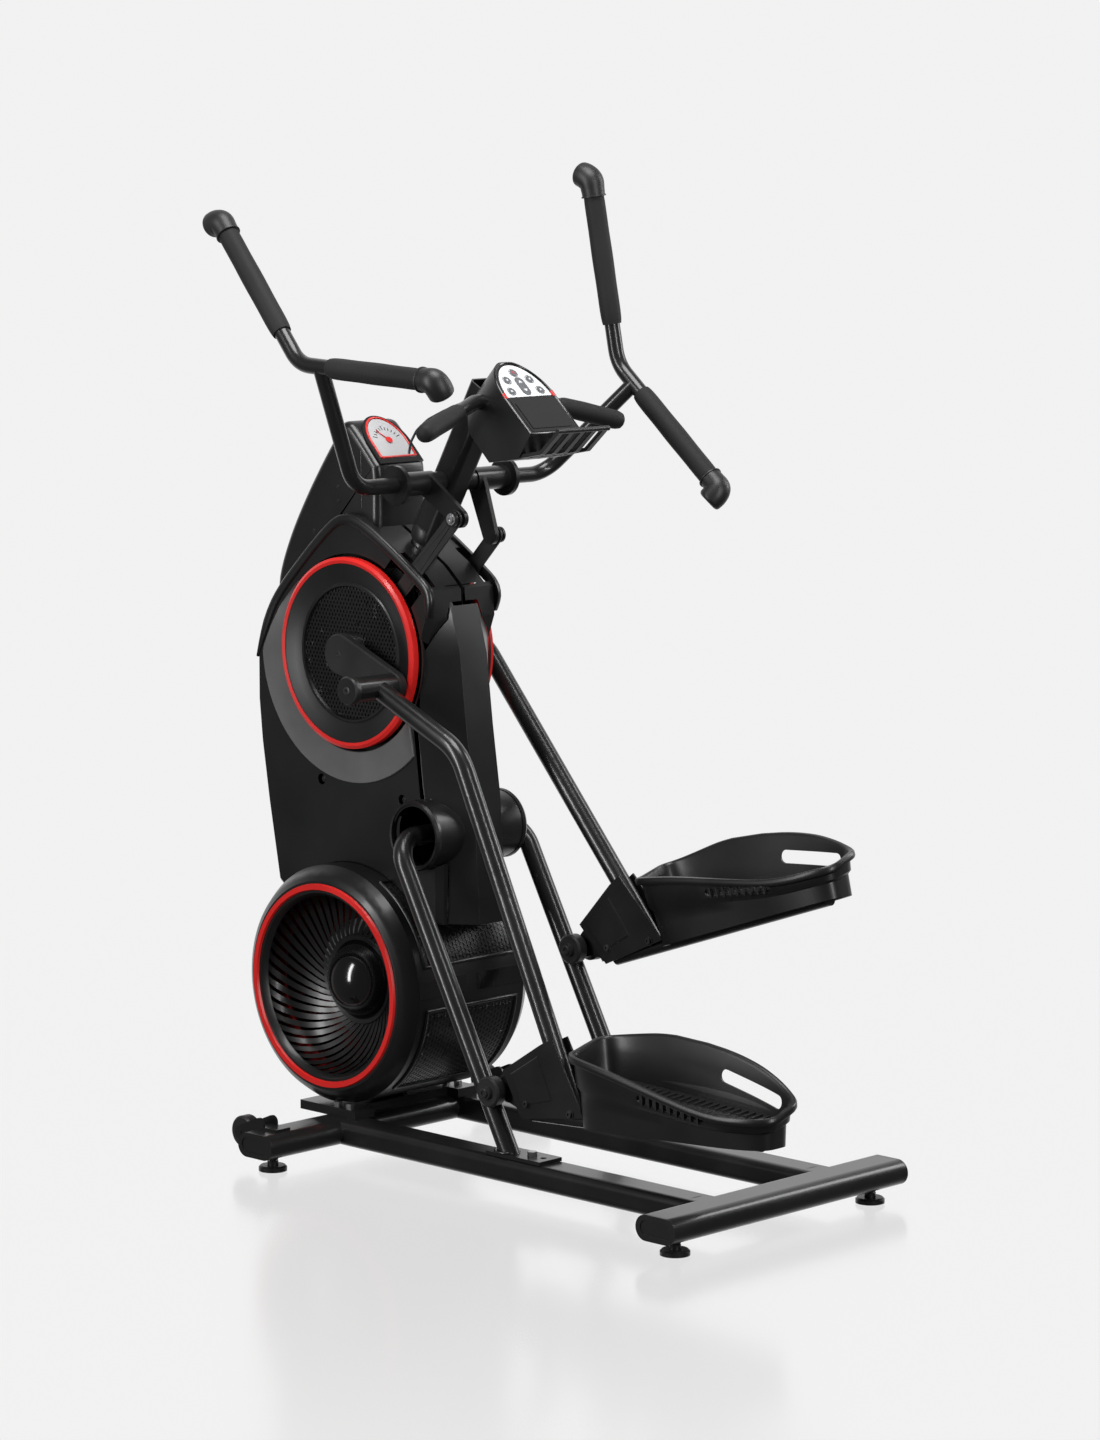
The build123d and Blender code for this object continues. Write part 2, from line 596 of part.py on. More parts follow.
def roller(side, half):
    """One flared wheel; two of them hug the track tube."""
    groove = TRACK_RADIUS + 0.5
    profile = [(7.0 * half, 6 + FIT)]
    for step in range(6):
        dx = 7.0 + step * (14.2 - 7.0) / 5
        profile.append((dx * half, ROLLER_OFFSET - math.sqrt(groove ** 2 - dx ** 2)))
    profile += [(29.5 * half, 24.5), (32.5 * half, 21.5), (32.5 * half, 6 + FIT)]
    axle = axle_point(side)
    return turned(axle, [(side * TRACK_X + x, r) for x, r in profile])


def roller_axle(side):
    """Bolt with a round head at each end, carried along the track."""
    axle, x = axle_point(side), side * TRACK_X
    return rod(axle, 6, x - 33, x + 33) + rod(axle, 11, x - 38, x - 33) + rod(axle, 11, x + 33, x + 38)


TRAY_FRONT, TRAY_REAR, TRAY_HALF = 188.0, 585.0, 57.0
TRAY_LOW = -36.0
HIGH_RIM = [(TRAY_FRONT - 5, 94), (310, 107), (392, 99), (470, 83), (530, 60), (TRAY_REAR + 5, 26)]
LOW_RIM = [(TRAY_FRONT - 5, 81), (270, 67), (352, 47), (434, 26), (493, 14), (TRAY_REAR + 5, 12)]


def rim_face(rim, x):
    """Side outline of the tray under one rim, in (p, q), standing at x."""
    points = [(x, p, q) for p, q in rim]
    points += [(x, TRAY_REAR + 5, TRAY_LOW), (x, TRAY_FRONT - 5, TRAY_LOW)]
    return make_face(Polyline(*points, close=True))


def tray():
    """Deep foot tray: one wall higher than the other, a sloping floor and slots in both walls."""
    length = TRAY_REAR - TRAY_FRONT
    middle = (TRAY_REAR + TRAY_FRONT) / 2
    plan = Pos(0, middle) * RectangleRounded(2 * TRAY_HALF, length, 38)
    hollow = Pos(0, middle) * RectangleRounded(2 * TRAY_HALF - 7, length - 7, 34.5)
    envelope = loft([rim_face(LOW_RIM, -TRAY_HALF - 1), rim_face(HIGH_RIM, TRAY_HALF + 1)],
                    ruled=True)
    wall = extrude(plan - hollow, 160, dir=(0, 0, 1)).moved(Location((0, 0, TRAY_LOW)))
    body = wall & envelope
    floor = extrude(hollow, 4).moved(Location((0, 0, 0)))
    slope = math.degrees(math.atan(0.0886))
    body += Pos(0, 240, 24) * Rot(-slope, 0, 0) * Pos(0, -240, 0) * floor & \
        extrude(plan, 200).moved(Location((0, 0, TRAY_LOW)))
    body -= Pos(-TRAY_HALF, 404, 8) * Rot(-9, 0, 0) * Box(20, 120, 10)
    body -= Pos(TRAY_HALF, 500, 24) * Rot(-14, 0, 0) * Box(20, 110, 15)
    body -= Pos(0, 180, -33) * Rot(90, 0, 0) * Cylinder(12, 60)
    body -= Pos(0, TRAY_FRONT, -20) * Box(2 * TRACK_RADIUS + 10, 16, 60)
    for p in (250, 520):
        floor_q = 24 - 0.0886 * (p - 240)
        height = floor_q + 22 + 2
        body += Pos(0, p, -22 + height / 2) * Box(18, 12, height)
    return body


def place_tray(side, body):
    """Turns the tray's (x, back, up) axes into the machine's at the leg's rest lean."""
    lean = leg_angle(side) - math.radians(PEDAL_DROP)
    plane = Plane(origin=(side * TRACK_X, *axle_point(side)), x_dir=(-1, 0, 0),
                  z_dir=(0, math.sin(lean), math.cos(lean)))
    return plane.location * body


for name, side in (("left", -1), ("right", 1)):
    place(f"{name}_leg", leg(side))
    place(f"{name}_rollers", roller(side, -1), roller(side, 1))
    place(f"{name}_roller_axle", roller_axle(side))
    place(f"{name}_pedal", place_tray(side, mirrored(tray())))

# ---- mast and arms --------------------------------------------------------------------------
MAST_SECTION = 48.0
MAST_LOW, MAST_HIGH = 1012.0, 1258.0
PIVOT_RADIUS = 10.0
HUB_X0, HUB_X1 = 46.0, 118.0
LEVER_X0, LEVER_X1 = 54.0, 62.0
LINK_X0, LINK_X1 = 67.3, 71.5
LINK_EYE = 46.0


def mast_sleeve():
    """Square tube over the post, up to the console."""
    start = mast_point(MAST_LOW)
    plane = Plane(origin=(0, *start), x_dir=(1, 0, 0), z_dir=(0, *MAST_DIR))
    length = math.dist(start, mast_point(MAST_HIGH))
    body = extrude(plane * RectangleRounded(MAST_SECTION, MAST_SECTION, 10), length)
    body -= extrude(plane * RectangleRounded(MAST_SECTION - 6, MAST_SECTION - 6, 7), length)
    body += mast_bar(MAST_SECTION / 2 - 1, MAST_LOW, 1160)
    body -= mast_bar(POST_RADIUS, MAST_LOW - 20, 1160)
    body += rod(PIVOT, 17, -HUB_X0 + 1, HUB_X0 - 1)
    body -= rod(PIVOT, PIVOT_RADIUS, -80, 80)
    body -= mast_bar(POST_RADIUS, MAST_LOW - 20, 1160)
    body -= console_block()
    return body - rest_bar(0)


def at_pivot(radius, degrees):
    """Y and Z of a point on an arm, by its distance and angle from the pivot."""
    return polar(PIVOT, radius, degrees)


def between(p, q, share):
    return tuple(a + (b - a) * share for a, b in zip(p, q))


ARM_ELBOW = (-294, *at_pivot(200, 79.5))
ARM_TOP = (-268, *at_pivot(478, 59.4))
ARM_LOWER = (-290, *at_pivot(316, 144.8))
ARM_FORK = between(ARM_ELBOW, ARM_LOWER, 0.16)


def sleeve(p, q, radius, bore=0.0):
    """A straight sleeve from p to q."""
    axis = Vector(*q) - Vector(*p)
    plane = Plane(origin=p, z_dir=axis)
    face = Circle(radius) - Circle(bore) if bore else Circle(radius)
    return extrude(plane * face, axis.length)


def arm_tubes(radius):
    upright = tube([(-100, *PIVOT), (-213, *PIVOT), ARM_FORK], 48, radius, 0)
    bow = tube([ARM_TOP, ARM_ELBOW, ARM_LOWER], 60, radius, 0)
    return upright + bow


def arm():
    """Hub, lever, upright and the bent tube that carries both grips; the left arm at rest."""
    end = polar(PIVOT, LEVER_LENGTH, LEVER_REST)
    body = rod(PIVOT, 19, -HUB_X1, -HUB_X0) + rod(PIVOT, 31, -126, -HUB_X1)
    body += arm_tubes(ARM_TUBE) - arm_tubes(ARM_TUBE - 2)
    body += make_lever(end)
    body += rod(end, 7, -75, -LEVER_X0) + rod(end, 13, -79, -75)
    return body - rod(PIVOT, PIVOT_RADIUS + FIT, -HUB_X1 - 4, -HUB_X0 + 1)


def make_lever(end):
    shape = make_hull((Pos(*PIVOT) * Circle(19)).edges() + (Pos(*end) * Circle(15)).edges())
    return slab(shape, -LEVER_X1, -LEVER_X0)


def arm_grips():
    """Foam sleeves and their end caps; each cap turns off to one side like a club's head."""
    top_grip = sleeve(between(ARM_TOP, ARM_ELBOW, 0.06), between(ARM_TOP, ARM_ELBOW, 0.78),
                      17, ARM_TUBE)
    low_grip = sleeve(between(ARM_ELBOW, ARM_LOWER, 0.24), between(ARM_ELBOW, ARM_LOWER, 0.93),
                      17, ARM_TUBE)
    pieces = [top_grip, low_grip]
    for end, start, turn in ((ARM_TOP, ARM_ELBOW, (0, 20, -12)), (ARM_LOWER, ARM_ELBOW, (14, 0, -20))):
        inner = between(end, start, 0.06 if end == ARM_TOP else 0.07)
        axis = (Vector(*end) - Vector(*start)).normalized()
        tip = Vector(*end) + axis * 6 + Vector(*turn)
        cap = sleeve(inner, end, 19) + Pos(*end) * Sphere(19) + Pos(*tip) * Sphere(18.5)
        neck = Solid.make_cylinder(18.5, (tip - Vector(*end)).length,
                                   Plane(origin=end, z_dir=tip - Vector(*end)))
        pieces.append(cap + neck - arm_tubes(ARM_TUBE))
    return pieces


def eccentric_centre(side):
    return polar(CRANK, ECCENTRIC, ECCENTRIC_REST if side < 0 else ECCENTRIC_REST - 180)


def link(side):
    """Flat bar from the lever's end to a wide eye round the crankshaft's eccentric."""
    end = polar(PIVOT, LEVER_LENGTH, LEVER_REST if side < 0 else LEVER_REST + ARM_SWING)
    centre = eccentric_centre(side)
    plate = bar(end, centre, 28, side * LINK_X0, side * LINK_X1)
    plate += rod(centre, LINK_EYE + 9, *sorted((side * LINK_X0, side * LINK_X1)))
    plate -= rod(centre, LINK_EYE, *sorted((side * (LINK_X0 - 1), side * (LINK_X1 + 1))))
    return plate - rod(end, 7 + FIT, *sorted((side * (LINK_X0 - 1), side * (LINK_X1 + 1))))


def to_right(piece):
    """The left arm's piece, mirrored and swung back to where the right arm stands."""
    return mirrored(piece).rotate(Axis((0, *PIVOT), (1, 0, 0)), ARM_SWING)


# ---- console ----------------------------------------------------------------------------------
REST_POINTS = [(-218, 537, 1197), (-62, 583, 1237), (62, 583, 1237), (218, 537, 1197)]
CONSOLE_PROFILE = [(578, 1297), (465, 1192), (492, 1152), (556, 1143), (604, 1190), (634, 1258),
                   (612, 1292), (592, 1300)]
CONSOLE_HALF = 57.5
KEY_HEIGHT, KEY_DEPTH, PAD_DEPTH = 1.6, 1.5, 5.0
KEY_PLACES = [(-32, 14), (-25, 38), (0, 53), (25, 38), (32, 14)]
KEY_RADIUS = 6.5
console_face = Plane(origin=(0, *CONSOLE), x_dir=(1, 0, 0), z_dir=CONSOLE_NORMAL)


def rest_bar(wall=2.0):
    return tube(REST_POINTS, 30, 12, wall)


def console_block():
    """Wedge-shaped body with a half-oval top edge."""
    plan = Ellipse(CONSOLE_HALF, 80) + Pos(0, -50) * Rectangle(2 * CONSOLE_HALF, 100)
    column = extrude(console_face.offset(-150) * plan, 160)
    return slab(outline(CONSOLE_PROFILE), -CONSOLE_HALF, CONSOLE_HALF) & column


def keypad_shape():
    return Ellipse(49, 70) & Pos(0, 38) * Rectangle(120, 72)


def display_shape():
    return Pos(0, -38) * RectangleRounded(98, 70, 5)


def inlay(shape, depth, height=0.5):
    return extrude(console_face.offset(-depth) * shape, depth + height)


def key_shapes(grow=0.0):
    """Five round keys and a pair of level keys joined in one rocker."""
    shapes = [Pos(*place_) * Circle(KEY_RADIUS + grow) for place_ in KEY_PLACES]
    return shapes + [Pos(0, 24) * Rot(0, 0, 90) * SlotOverall(38 + 2 * grow, 18 + 2 * grow)]


def console_housing():
    body = console_block()
    body -= inlay(keypad_shape(), PAD_DEPTH, 5) + inlay(display_shape(), PAD_DEPTH, 5)
    return body - rest_bar(0)


def console_keypad():
    body = inlay(keypad_shape(), PAD_DEPTH)
    for shape in key_shapes(FIT):
        body -= inlay(shape, PAD_DEPTH + 1, 3)
    return body


def book_tray():
    """Five hooked ribs joined by a cross rail."""
    rail_end, knee, root = (407, 1199), (446, 1164), (524, 1150)
    body = rod(rail_end, 4, -CONSOLE_HALF, CONSOLE_HALF)
    for x in range(-50, 51, 25):
        body += bar(rail_end, knee, 6, x - 5, x + 5) + bar(knee, root, 6, x - 5, x + 5)
    return body - console_block()


def static_grips():
    """Foam on the left end of the fixed handlebar, closed by a plug."""
    end = REST_POINTS[0]
    foam = sleeve(between(end, REST_POINTS[1], 0.62), end, 16, 12)
    plug = sleeve(end, between(end, REST_POINTS[1], -0.03), 15.5)
    return [foam, plug]


CABLE_POINTS = [(-80, 713.9, 1150), (-79, 711, 1168), (-77, 699, 1188), (-72, 678, 1206),
                (-66, 650, 1220), (-58, 622, 1232), (-50, 604, 1240)]


def cable():
    """Brake cable from its stop on the mast's bracket up in an arc into the console."""
    path = FilletPolyline(*CABLE_POINTS, radius=[30, 34, 34, 34, 34])
    start = Plane(origin=path @ 0, z_dir=path % 0)
    return sweep(start * Circle(2), path=path) - console_block()


left_arm, left_grips = arm(), arm_grips()
place("left_arm", left_arm)
place("right_arm", to_right(left_arm))
place("left_arm_grips", *left_grips)
place("right_arm_grips", *[to_right(piece) for piece in left_grips])
for name, side in (("left", -1), ("right", 1)):
    place(f"{name}_link", link(side))
place("mast_sleeve", mast_sleeve())
place("pivot_shaft", rod(PIVOT, PIVOT_RADIUS, -HUB_X1 - 3, HUB_X1 + 3))
place("console_housing", console_housing())
place("console_display", inlay(display_shape(), PAD_DEPTH))
place("console_keypad", console_keypad())
for number, shape in enumerate(key_shapes(), 1):
    name = "level_key" if number == 6 else f"console_key_{number}"
    place(name, extrude(console_face.offset(-KEY_DEPTH) * shape, KEY_DEPTH + KEY_HEIGHT))
place("book_tray", book_tray())
place("static_handlebar", rest_bar())
left_grip = static_grips()
place("static_grips", *left_grip, *[mirrored(piece) for piece in left_grip])
place("sensor_cable", cable())
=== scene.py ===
"""Looks of the elliptical trainer: materials, moulded and turned detail, floor, lights and camera."""

import json
import math

import bmesh
import bpy
from mathutils import Matrix, Vector


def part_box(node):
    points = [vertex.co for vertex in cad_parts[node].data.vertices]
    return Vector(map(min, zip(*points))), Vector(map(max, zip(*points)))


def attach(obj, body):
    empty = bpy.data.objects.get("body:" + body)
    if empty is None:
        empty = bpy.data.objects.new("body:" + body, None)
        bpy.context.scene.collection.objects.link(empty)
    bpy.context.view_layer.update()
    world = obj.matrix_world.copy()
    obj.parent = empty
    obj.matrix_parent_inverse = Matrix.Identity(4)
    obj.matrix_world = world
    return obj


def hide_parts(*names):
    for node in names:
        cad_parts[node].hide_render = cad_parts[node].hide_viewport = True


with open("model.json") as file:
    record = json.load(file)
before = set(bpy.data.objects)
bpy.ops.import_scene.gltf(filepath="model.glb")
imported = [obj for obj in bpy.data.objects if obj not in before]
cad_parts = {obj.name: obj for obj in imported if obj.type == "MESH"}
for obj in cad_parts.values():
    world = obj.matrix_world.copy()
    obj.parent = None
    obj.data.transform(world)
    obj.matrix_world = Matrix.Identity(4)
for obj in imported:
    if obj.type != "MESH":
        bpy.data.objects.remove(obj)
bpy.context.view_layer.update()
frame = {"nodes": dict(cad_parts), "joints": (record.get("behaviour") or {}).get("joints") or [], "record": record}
NODES = frame["nodes"]
JOINTS = {joint["name"]: joint for joint in frame["joints"]}

# ---- places taken from the frame ----------------------------------------------------------------
# Design figures below are in millimetres, with Y counted from the line of the rear feet.
MM = 0.001
REAR_FEET = sum(corner.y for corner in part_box("rear_stabilizer")) / 2 / MM


def joint_place(name):
    """Y and Z of a joint, in design millimetres."""
    y, z = JOINTS[name]["pos_m"][1:]
    return (y / MM - REAR_FEET, z / MM)


def spot(x, y, z):
    """Design millimetres to the frame's metres."""
    return Vector((x * MM, (y + REAR_FEET) * MM, z * MM))


CRANK = joint_place("crank_spin")
FAN = joint_place("fan_spin")
PIVOT = joint_place("left_arm_swing")
ARM_SWING = -JOINTS["right_arm_swing"]["range_deg"][0]
CRANK_RADIUS = 130.0  # of the crank pins' circle
CRANK_ANGLE = {-1: 198.0, 1: 18.0}  # of each side's crank pin at rest
LEG_PIN = (671.4, 9.4)  # the crank pin, up the leg and behind it, from the roller axle
PEDAL_DROP = math.radians(22)  # of the tray against the leg
TRACK_X = 142.0  # of the tracks from the middle plane
SIDES = ((-1, "left"), (1, "right"))


def polar(centre, radius, degrees):
    a = math.radians(degrees)
    return (centre[0] + radius * math.cos(a), centre[1] + radius * math.sin(a))


def leg_lean(side, name):
    """Lean of the leg tube from the vertical."""
    axle = joint_place(f"{name}_leg_tilt")
    pin = polar(CRANK, CRANK_RADIUS, CRANK_ANGLE[side])
    return math.atan2(pin[0] - axle[0], pin[1] - axle[1]) + math.atan2(LEG_PIN[1], LEG_PIN[0])


def leg_spot(side, name, x, a, b):
    """Place on a leg: x across, a up the leg, b behind it, from the roller axle."""
    axle, lean = joint_place(f"{name}_leg_tilt"), leg_lean(side, name)
    y = axle[0] + a * math.sin(lean) - b * math.cos(lean)
    z = axle[1] + a * math.cos(lean) + b * math.sin(lean)
    return spot(side * TRACK_X + x, y, z)


def tray_spot(side, name, x, p, q):
    """Place on a foot tray: x across, p back along it, q up."""
    axle, lean = joint_place(f"{name}_leg_tilt"), leg_lean(side, name) - PEDAL_DROP
    y = axle[0] - p * math.cos(lean) + q * math.sin(lean)
    z = axle[1] + p * math.sin(lean) + q * math.cos(lean)
    return spot(side * TRACK_X + x, y, z)


def slope(centre, up):
    """Placing function of a sloping face: u across it, v up it, h off it."""
    def place(u, v, h):
        return spot(u, centre[0] + v * up[0] - h * up[1], centre[1] + v * up[1] + h * up[0])
    return place


gauge_spot = slope((850.0, 1160.0), (0.698, 0.716))
console_spot = slope((521.5, 1244.5), (0.732, 0.681))


# ---- materials ----------------------------------------------------------------------------------
def add_node(tree, kind, values=None, **settings):
    """A new shader node, with its settings and then its socket values."""
    node = tree.nodes.new(kind)
    for key, value in settings.items():
        setattr(node, key, value)
    for socket, value in (values or {}).items():
        node.inputs[socket].default_value = value
    return node


def new_material(name, rough, colours, grain, bump, metallic=0.0, coat=0.0, specular=0.5,
                 cells=False, flake=0.0):
    """A surface with mottled colour, uneven gloss and a fine grain, all in object space."""
    material = bpy.data.materials.new(name)
    material.use_nodes = True
    tree = material.node_tree
    link = tree.links.new
    shader = tree.nodes["Principled BSDF"]
    place = add_node(tree, "ShaderNodeTexCoord").outputs["Object"]
    broad = add_node(tree, "ShaderNodeTexNoise", {"Scale": 9.0, "Detail": 6.0})
    link(place, broad.inputs["Vector"])
    ramp = add_node(tree, "ShaderNodeValToRGB")
    for stop, position, shade in zip(ramp.color_ramp.elements, (0.35, 0.68), colours):
        stop.position = position
        stop.color = (*shade, 1)
    link(broad.outputs["Fac"], ramp.inputs["Fac"])
    colour = ramp.outputs["Color"]
    if flake:
        specks = add_node(tree, "ShaderNodeTexVoronoi", {"Scale": 2600.0})
        link(place, specks.inputs["Vector"])
        mix = add_node(tree, "ShaderNodeMix", {"Factor": flake}, data_type="RGBA", blend_type="OVERLAY")
        link(colour, mix.inputs["A"])
        link(specks.outputs["Color"], mix.inputs["B"])
        colour = mix.outputs["Result"]
    link(colour, shader.inputs["Base Color"])
    spread = add_node(tree, "ShaderNodeMapRange", {"To Min": rough[0], "To Max": rough[1]})
    link(broad.outputs["Fac"], spread.inputs["Value"])
    link(spread.outputs["Result"], shader.inputs["Roughness"])
    fine = add_node(tree, "ShaderNodeTexVoronoi" if cells else "ShaderNodeTexNoise", {"Scale": grain})
    link(place, fine.inputs["Vector"])
    relief = add_node(tree, "ShaderNodeBump", {"Strength": bump, "Distance": 0.0006})
    link(fine.outputs["Distance" if cells else "Fac"], relief.inputs["Height"])
    link(relief.outputs["Normal"], shader.inputs["Normal"])
    shader.inputs["Metallic"].default_value = metallic
    shader.inputs["Coat Weight"].default_value = coat
    shader.inputs["Coat Roughness"].default_value = 0.12
    shader.inputs["Specular IOR Level"].default_value = specular
    return material


def grey(value):
    return (value, value, value)


PAINT = new_material("charcoal_paint", (0.27, 0.35), (grey(0.020), grey(0.032)), 900, 0.002,
                     metallic=0.6, coat=0.3, flake=0.04)
COVER = new_material("black_cover", (0.3, 0.4), (grey(0.0045), (0.007, 0.007, 0.0075)), 1400, 0.012,
                     coat=0.15)
GLOSS = new_material("gloss_black", (0.1, 0.18), (grey(0.004), grey(0.006)), 700, 0.003, coat=0.6)
SATIN_GREY = new_material("satin_grey", (0.36, 0.46), (grey(0.13), grey(0.17)), 1600, 0.01,
                          metallic=0.5, coat=0.1)
TRAY = new_material("tray_plastic", (0.3, 0.42), (grey(0.006), grey(0.010)), 1500, 0.035, cells=True)
RED = new_material("red_plastic", (0.28, 0.38), ((0.62, 0.012, 0.010), (0.72, 0.018, 0.014)),
                   1200, 0.006, coat=0.25)
# The impeller's red plastic, darkened with painted shade for its place inside the drum behind the slats.
SHADED_BLADE_RED = new_material("red_blade_painted_shade", (0.3, 0.4), ((0.16, 0.004, 0.004), (0.24, 0.006, 0.006)),
                         900, 0.05)
FOAM = new_material("grip_foam", (0.6, 0.75), (grey(0.009), grey(0.015)), 2600, 0.03,
                    specular=0.3, cells=True)
RUBBER = new_material("black_rubber", (0.4, 0.52), (grey(0.007), grey(0.012)), 900, 0.008)
NYLON = new_material("black_nylon", (0.34, 0.46), (grey(0.009), grey(0.015)), 1000, 0.012)
LINK_PAINT = new_material("black_link_paint", (0.34, 0.46), (grey(0.02), grey(0.032)), 800, 0.012,
                          metallic=0.4)
STEEL = new_material("zinc_steel", (0.24, 0.4), ((0.42, 0.42, 0.43), (0.56, 0.56, 0.57)), 600, 0.08,
                     metallic=1.0)
ALUMINIUM = new_material("cast_aluminium", (0.4, 0.55), (grey(0.5), grey(0.62)), 350, 0.25,
                         metallic=1.0)
WHITE = new_material("white_overlay", (0.32, 0.42), ((0.70, 0.71, 0.72), (0.78, 0.79, 0.80)),
                     1800, 0.05, coat=0.2)
GAUGE_GREY = new_material("gauge_face_grey", (0.3, 0.4), ((0.42, 0.42, 0.43), (0.5, 0.5, 0.51)),
                          1800, 0.01, coat=0.2)
KEY = new_material("grey_keys", (0.4, 0.5), ((0.09, 0.095, 0.105), (0.13, 0.135, 0.145)), 1500, 0.1)
SLOT_MATERIAL = {"frame_metal": PAINT, "cover_plastic": COVER, "tray_plastic": TRAY,
                 "red_plastic": RED, "grip_foam": FOAM, "wheel_rubber": RUBBER,
                 "roller_nylon": NYLON, "link_steel": LINK_PAINT, "bright_steel": STEEL,
                 "cast_aluminium": ALUMINIUM, "panel_white": WHITE, "key_grey": KEY}
NODE_MATERIAL = {"fan_impeller": SHADED_BLADE_RED, "console_display": GLOSS, "level_key": KEY,
                 "pivot_shaft": LINK_PAINT, "left_roller_axle": NYLON, "right_roller_axle": NYLON}


def dress_frame():
    """Gives each carried-over CAD node its material."""
    slots = {row["node"]: row["material_slot"] for row in frame["record"]["subparts"]}
    for name, node in NODES.items():
        material = NODE_MATERIAL.get(name, SLOT_MATERIAL[slots[name]])
        node.data.materials.clear()
        node.data.materials.append(material)
        for slot in node.material_slots:
            slot.material = material


ROUNDED = {"left_side_cover": 5.0, "right_side_cover": 5.0, "rear_cover": 6.0,
           "console_housing": 4.0, "fan_housing": 3.0, "crank_arms": 1.6, "left_link": 0.6,
           "right_link": 0.6}


def round_edges():
    """Softens the sharp edges of the moulded covers, the cast crank arms and the links."""
    for name, width in ROUNDED.items():
        node = NODES[name]
        weld = node.modifiers.new("weld", "WELD")
        weld.merge_threshold = 1e-5
        bevel = node.modifiers.new("round", "BEVEL")
        bevel.width = width * MM
        bevel.segments = 3
        bevel.limit_method = "ANGLE"
        bevel.angle_limit = math.radians(32)
        even = node.modifiers.new("even", "WEIGHTED_NORMAL")
        even.weight = 90


# ---- mesh helpers: a solid is a pair of points in metres and faces --------------------------------
def solid_object(name, solid, smooth=35.0):
    """A linked object made of a solid, shaded smooth up to an angle."""
    points, sides = solid
    mesh = bpy.data.meshes.new(name)
    mesh.from_pydata([tuple(v) for v in points], [], sides)
    work = bmesh.new()
    work.from_mesh(mesh)
    bmesh.ops.remove_doubles(work, verts=work.verts, dist=1e-6)
    bmesh.ops.recalc_face_normals(work, faces=work.faces)
    for face in work.faces:
        face.smooth = True
    for edge in work.edges:
        if len(edge.link_faces) == 2 and edge.calc_face_angle(0) > math.radians(smooth):
            edge.smooth = False
    work.to_mesh(mesh)
    work.free()
    thing = bpy.data.objects.new(name, mesh)
    bpy.context.scene.collection.objects.link(thing)
    return thing


def piece(name, solid, material, body, slot, smooth=35.0):
    """A visible piece in one material, riding on a body."""
    thing = solid_object(name, solid, smooth)
    thing.data.materials.append(material)
    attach(thing, body)
    return thing


def cover_piece(name, solid, smooth, material=COVER):
    """A moulded plastic piece of the fixed covers."""
    return piece(name, solid, material, "root", "cover_plastic", smooth)


def circle(count):
    """Evenly spaced angles, in radians."""
    return [2 * math.pi * k / count for k in range(count)]


def grid_faces(rows, columns, close_rows=False, close_columns=False):
    """Quads over a grid of points stored row by row."""
    faces = []
    for i in range(rows if close_rows else rows - 1):
        for j in range(columns if close_columns else columns - 1):
            a, b = i * columns + j, i * columns + (j + 1) % columns
            c, d = ((i + 1) % rows) * columns + (j + 1) % columns, ((i + 1) % rows) * columns + j
            faces.append((a, b, c, d))
    return faces


def bar(rings):
    """A solid through rings of equally many points, closed by a flat face at each end."""
    rows, columns = len(rings), len(rings[0])
    ends = [tuple(range(columns))[::-1], tuple(range((rows - 1) * columns, rows * columns))]
    return ([point for ring in rings for point in ring],
            grid_faces(rows, columns, False, True) + ends)


def joined(solids):
    """Several solids as one."""
    points, sides = [], []
    for more_points, more_sides in solids:
        sides += [tuple(len(points) + i for i in side) for side in more_sides]
        points += more_points
    return points, sides


def lathe(profile, centre, side=1, steps=128):
    """A closed (x, radius) profile turned about a line along X; side mirrors it."""
    points = [spot(side * x, *polar(centre, radius, 360 * k / steps))
              for k in range(steps) for x, radius in profile]
    return points, grid_faces(steps, len(profile), True, True)


def smooth_path(points, per_span=8):
    """Catmull-Rom curve through points of any length, a radius included."""
    out = []
    ends = [points[0], *points, points[-1]]
    for span in zip(ends, ends[1:], ends[2:], ends[3:]):
        for k in range(per_span):
            t = k / per_span
            out.append([0.5 * (2 * b + (c - a) * t + (2 * a - 5 * b + 4 * c - d) * t * t
                               + (3 * b - a - 3 * c + d) * t ** 3) for a, b, c, d in zip(*span)])
    return out + [list(points[-1])]


def swept(path, count=28):
    """A round bar along points (x, y, z, radius) in metres."""
    centres = [Vector(point[:3]) for point in path]
    tangents = [(after - before).normalized()
                for before, after in zip(centres[:1] + centres, centres[1:] + centres[-1:])]
    side = tangents[0].orthogonal().normalized()
    rings = []
    for centre, tangent, point in zip(centres, tangents, path):
        side = (side - tangent * side.dot(tangent)).normalized()
        other = tangent.cross(side)
        rings.append([centre + (side * math.cos(a) + other * math.sin(a)) * point[3]
                      for a in circle(count)])
    return bar(rings)


def domed(path):
    """Adds rings of shrinking radius past both ends of a path, for rounded ends."""
    def cap(end, inner):
        centre, radius = Vector(end[:3]), end[3]
        away = (centre - Vector(inner[:3])).normalized()
        angles = [math.pi / 2 * k / 4.2 for k in (1, 2, 3, 4)]
        return [[*(centre + away * radius * 0.6 * math.sin(a)), radius * math.cos(a)] for a in angles]
    return cap(path[0], path[1])[::-1] + path + cap(path[-1], path[-2])


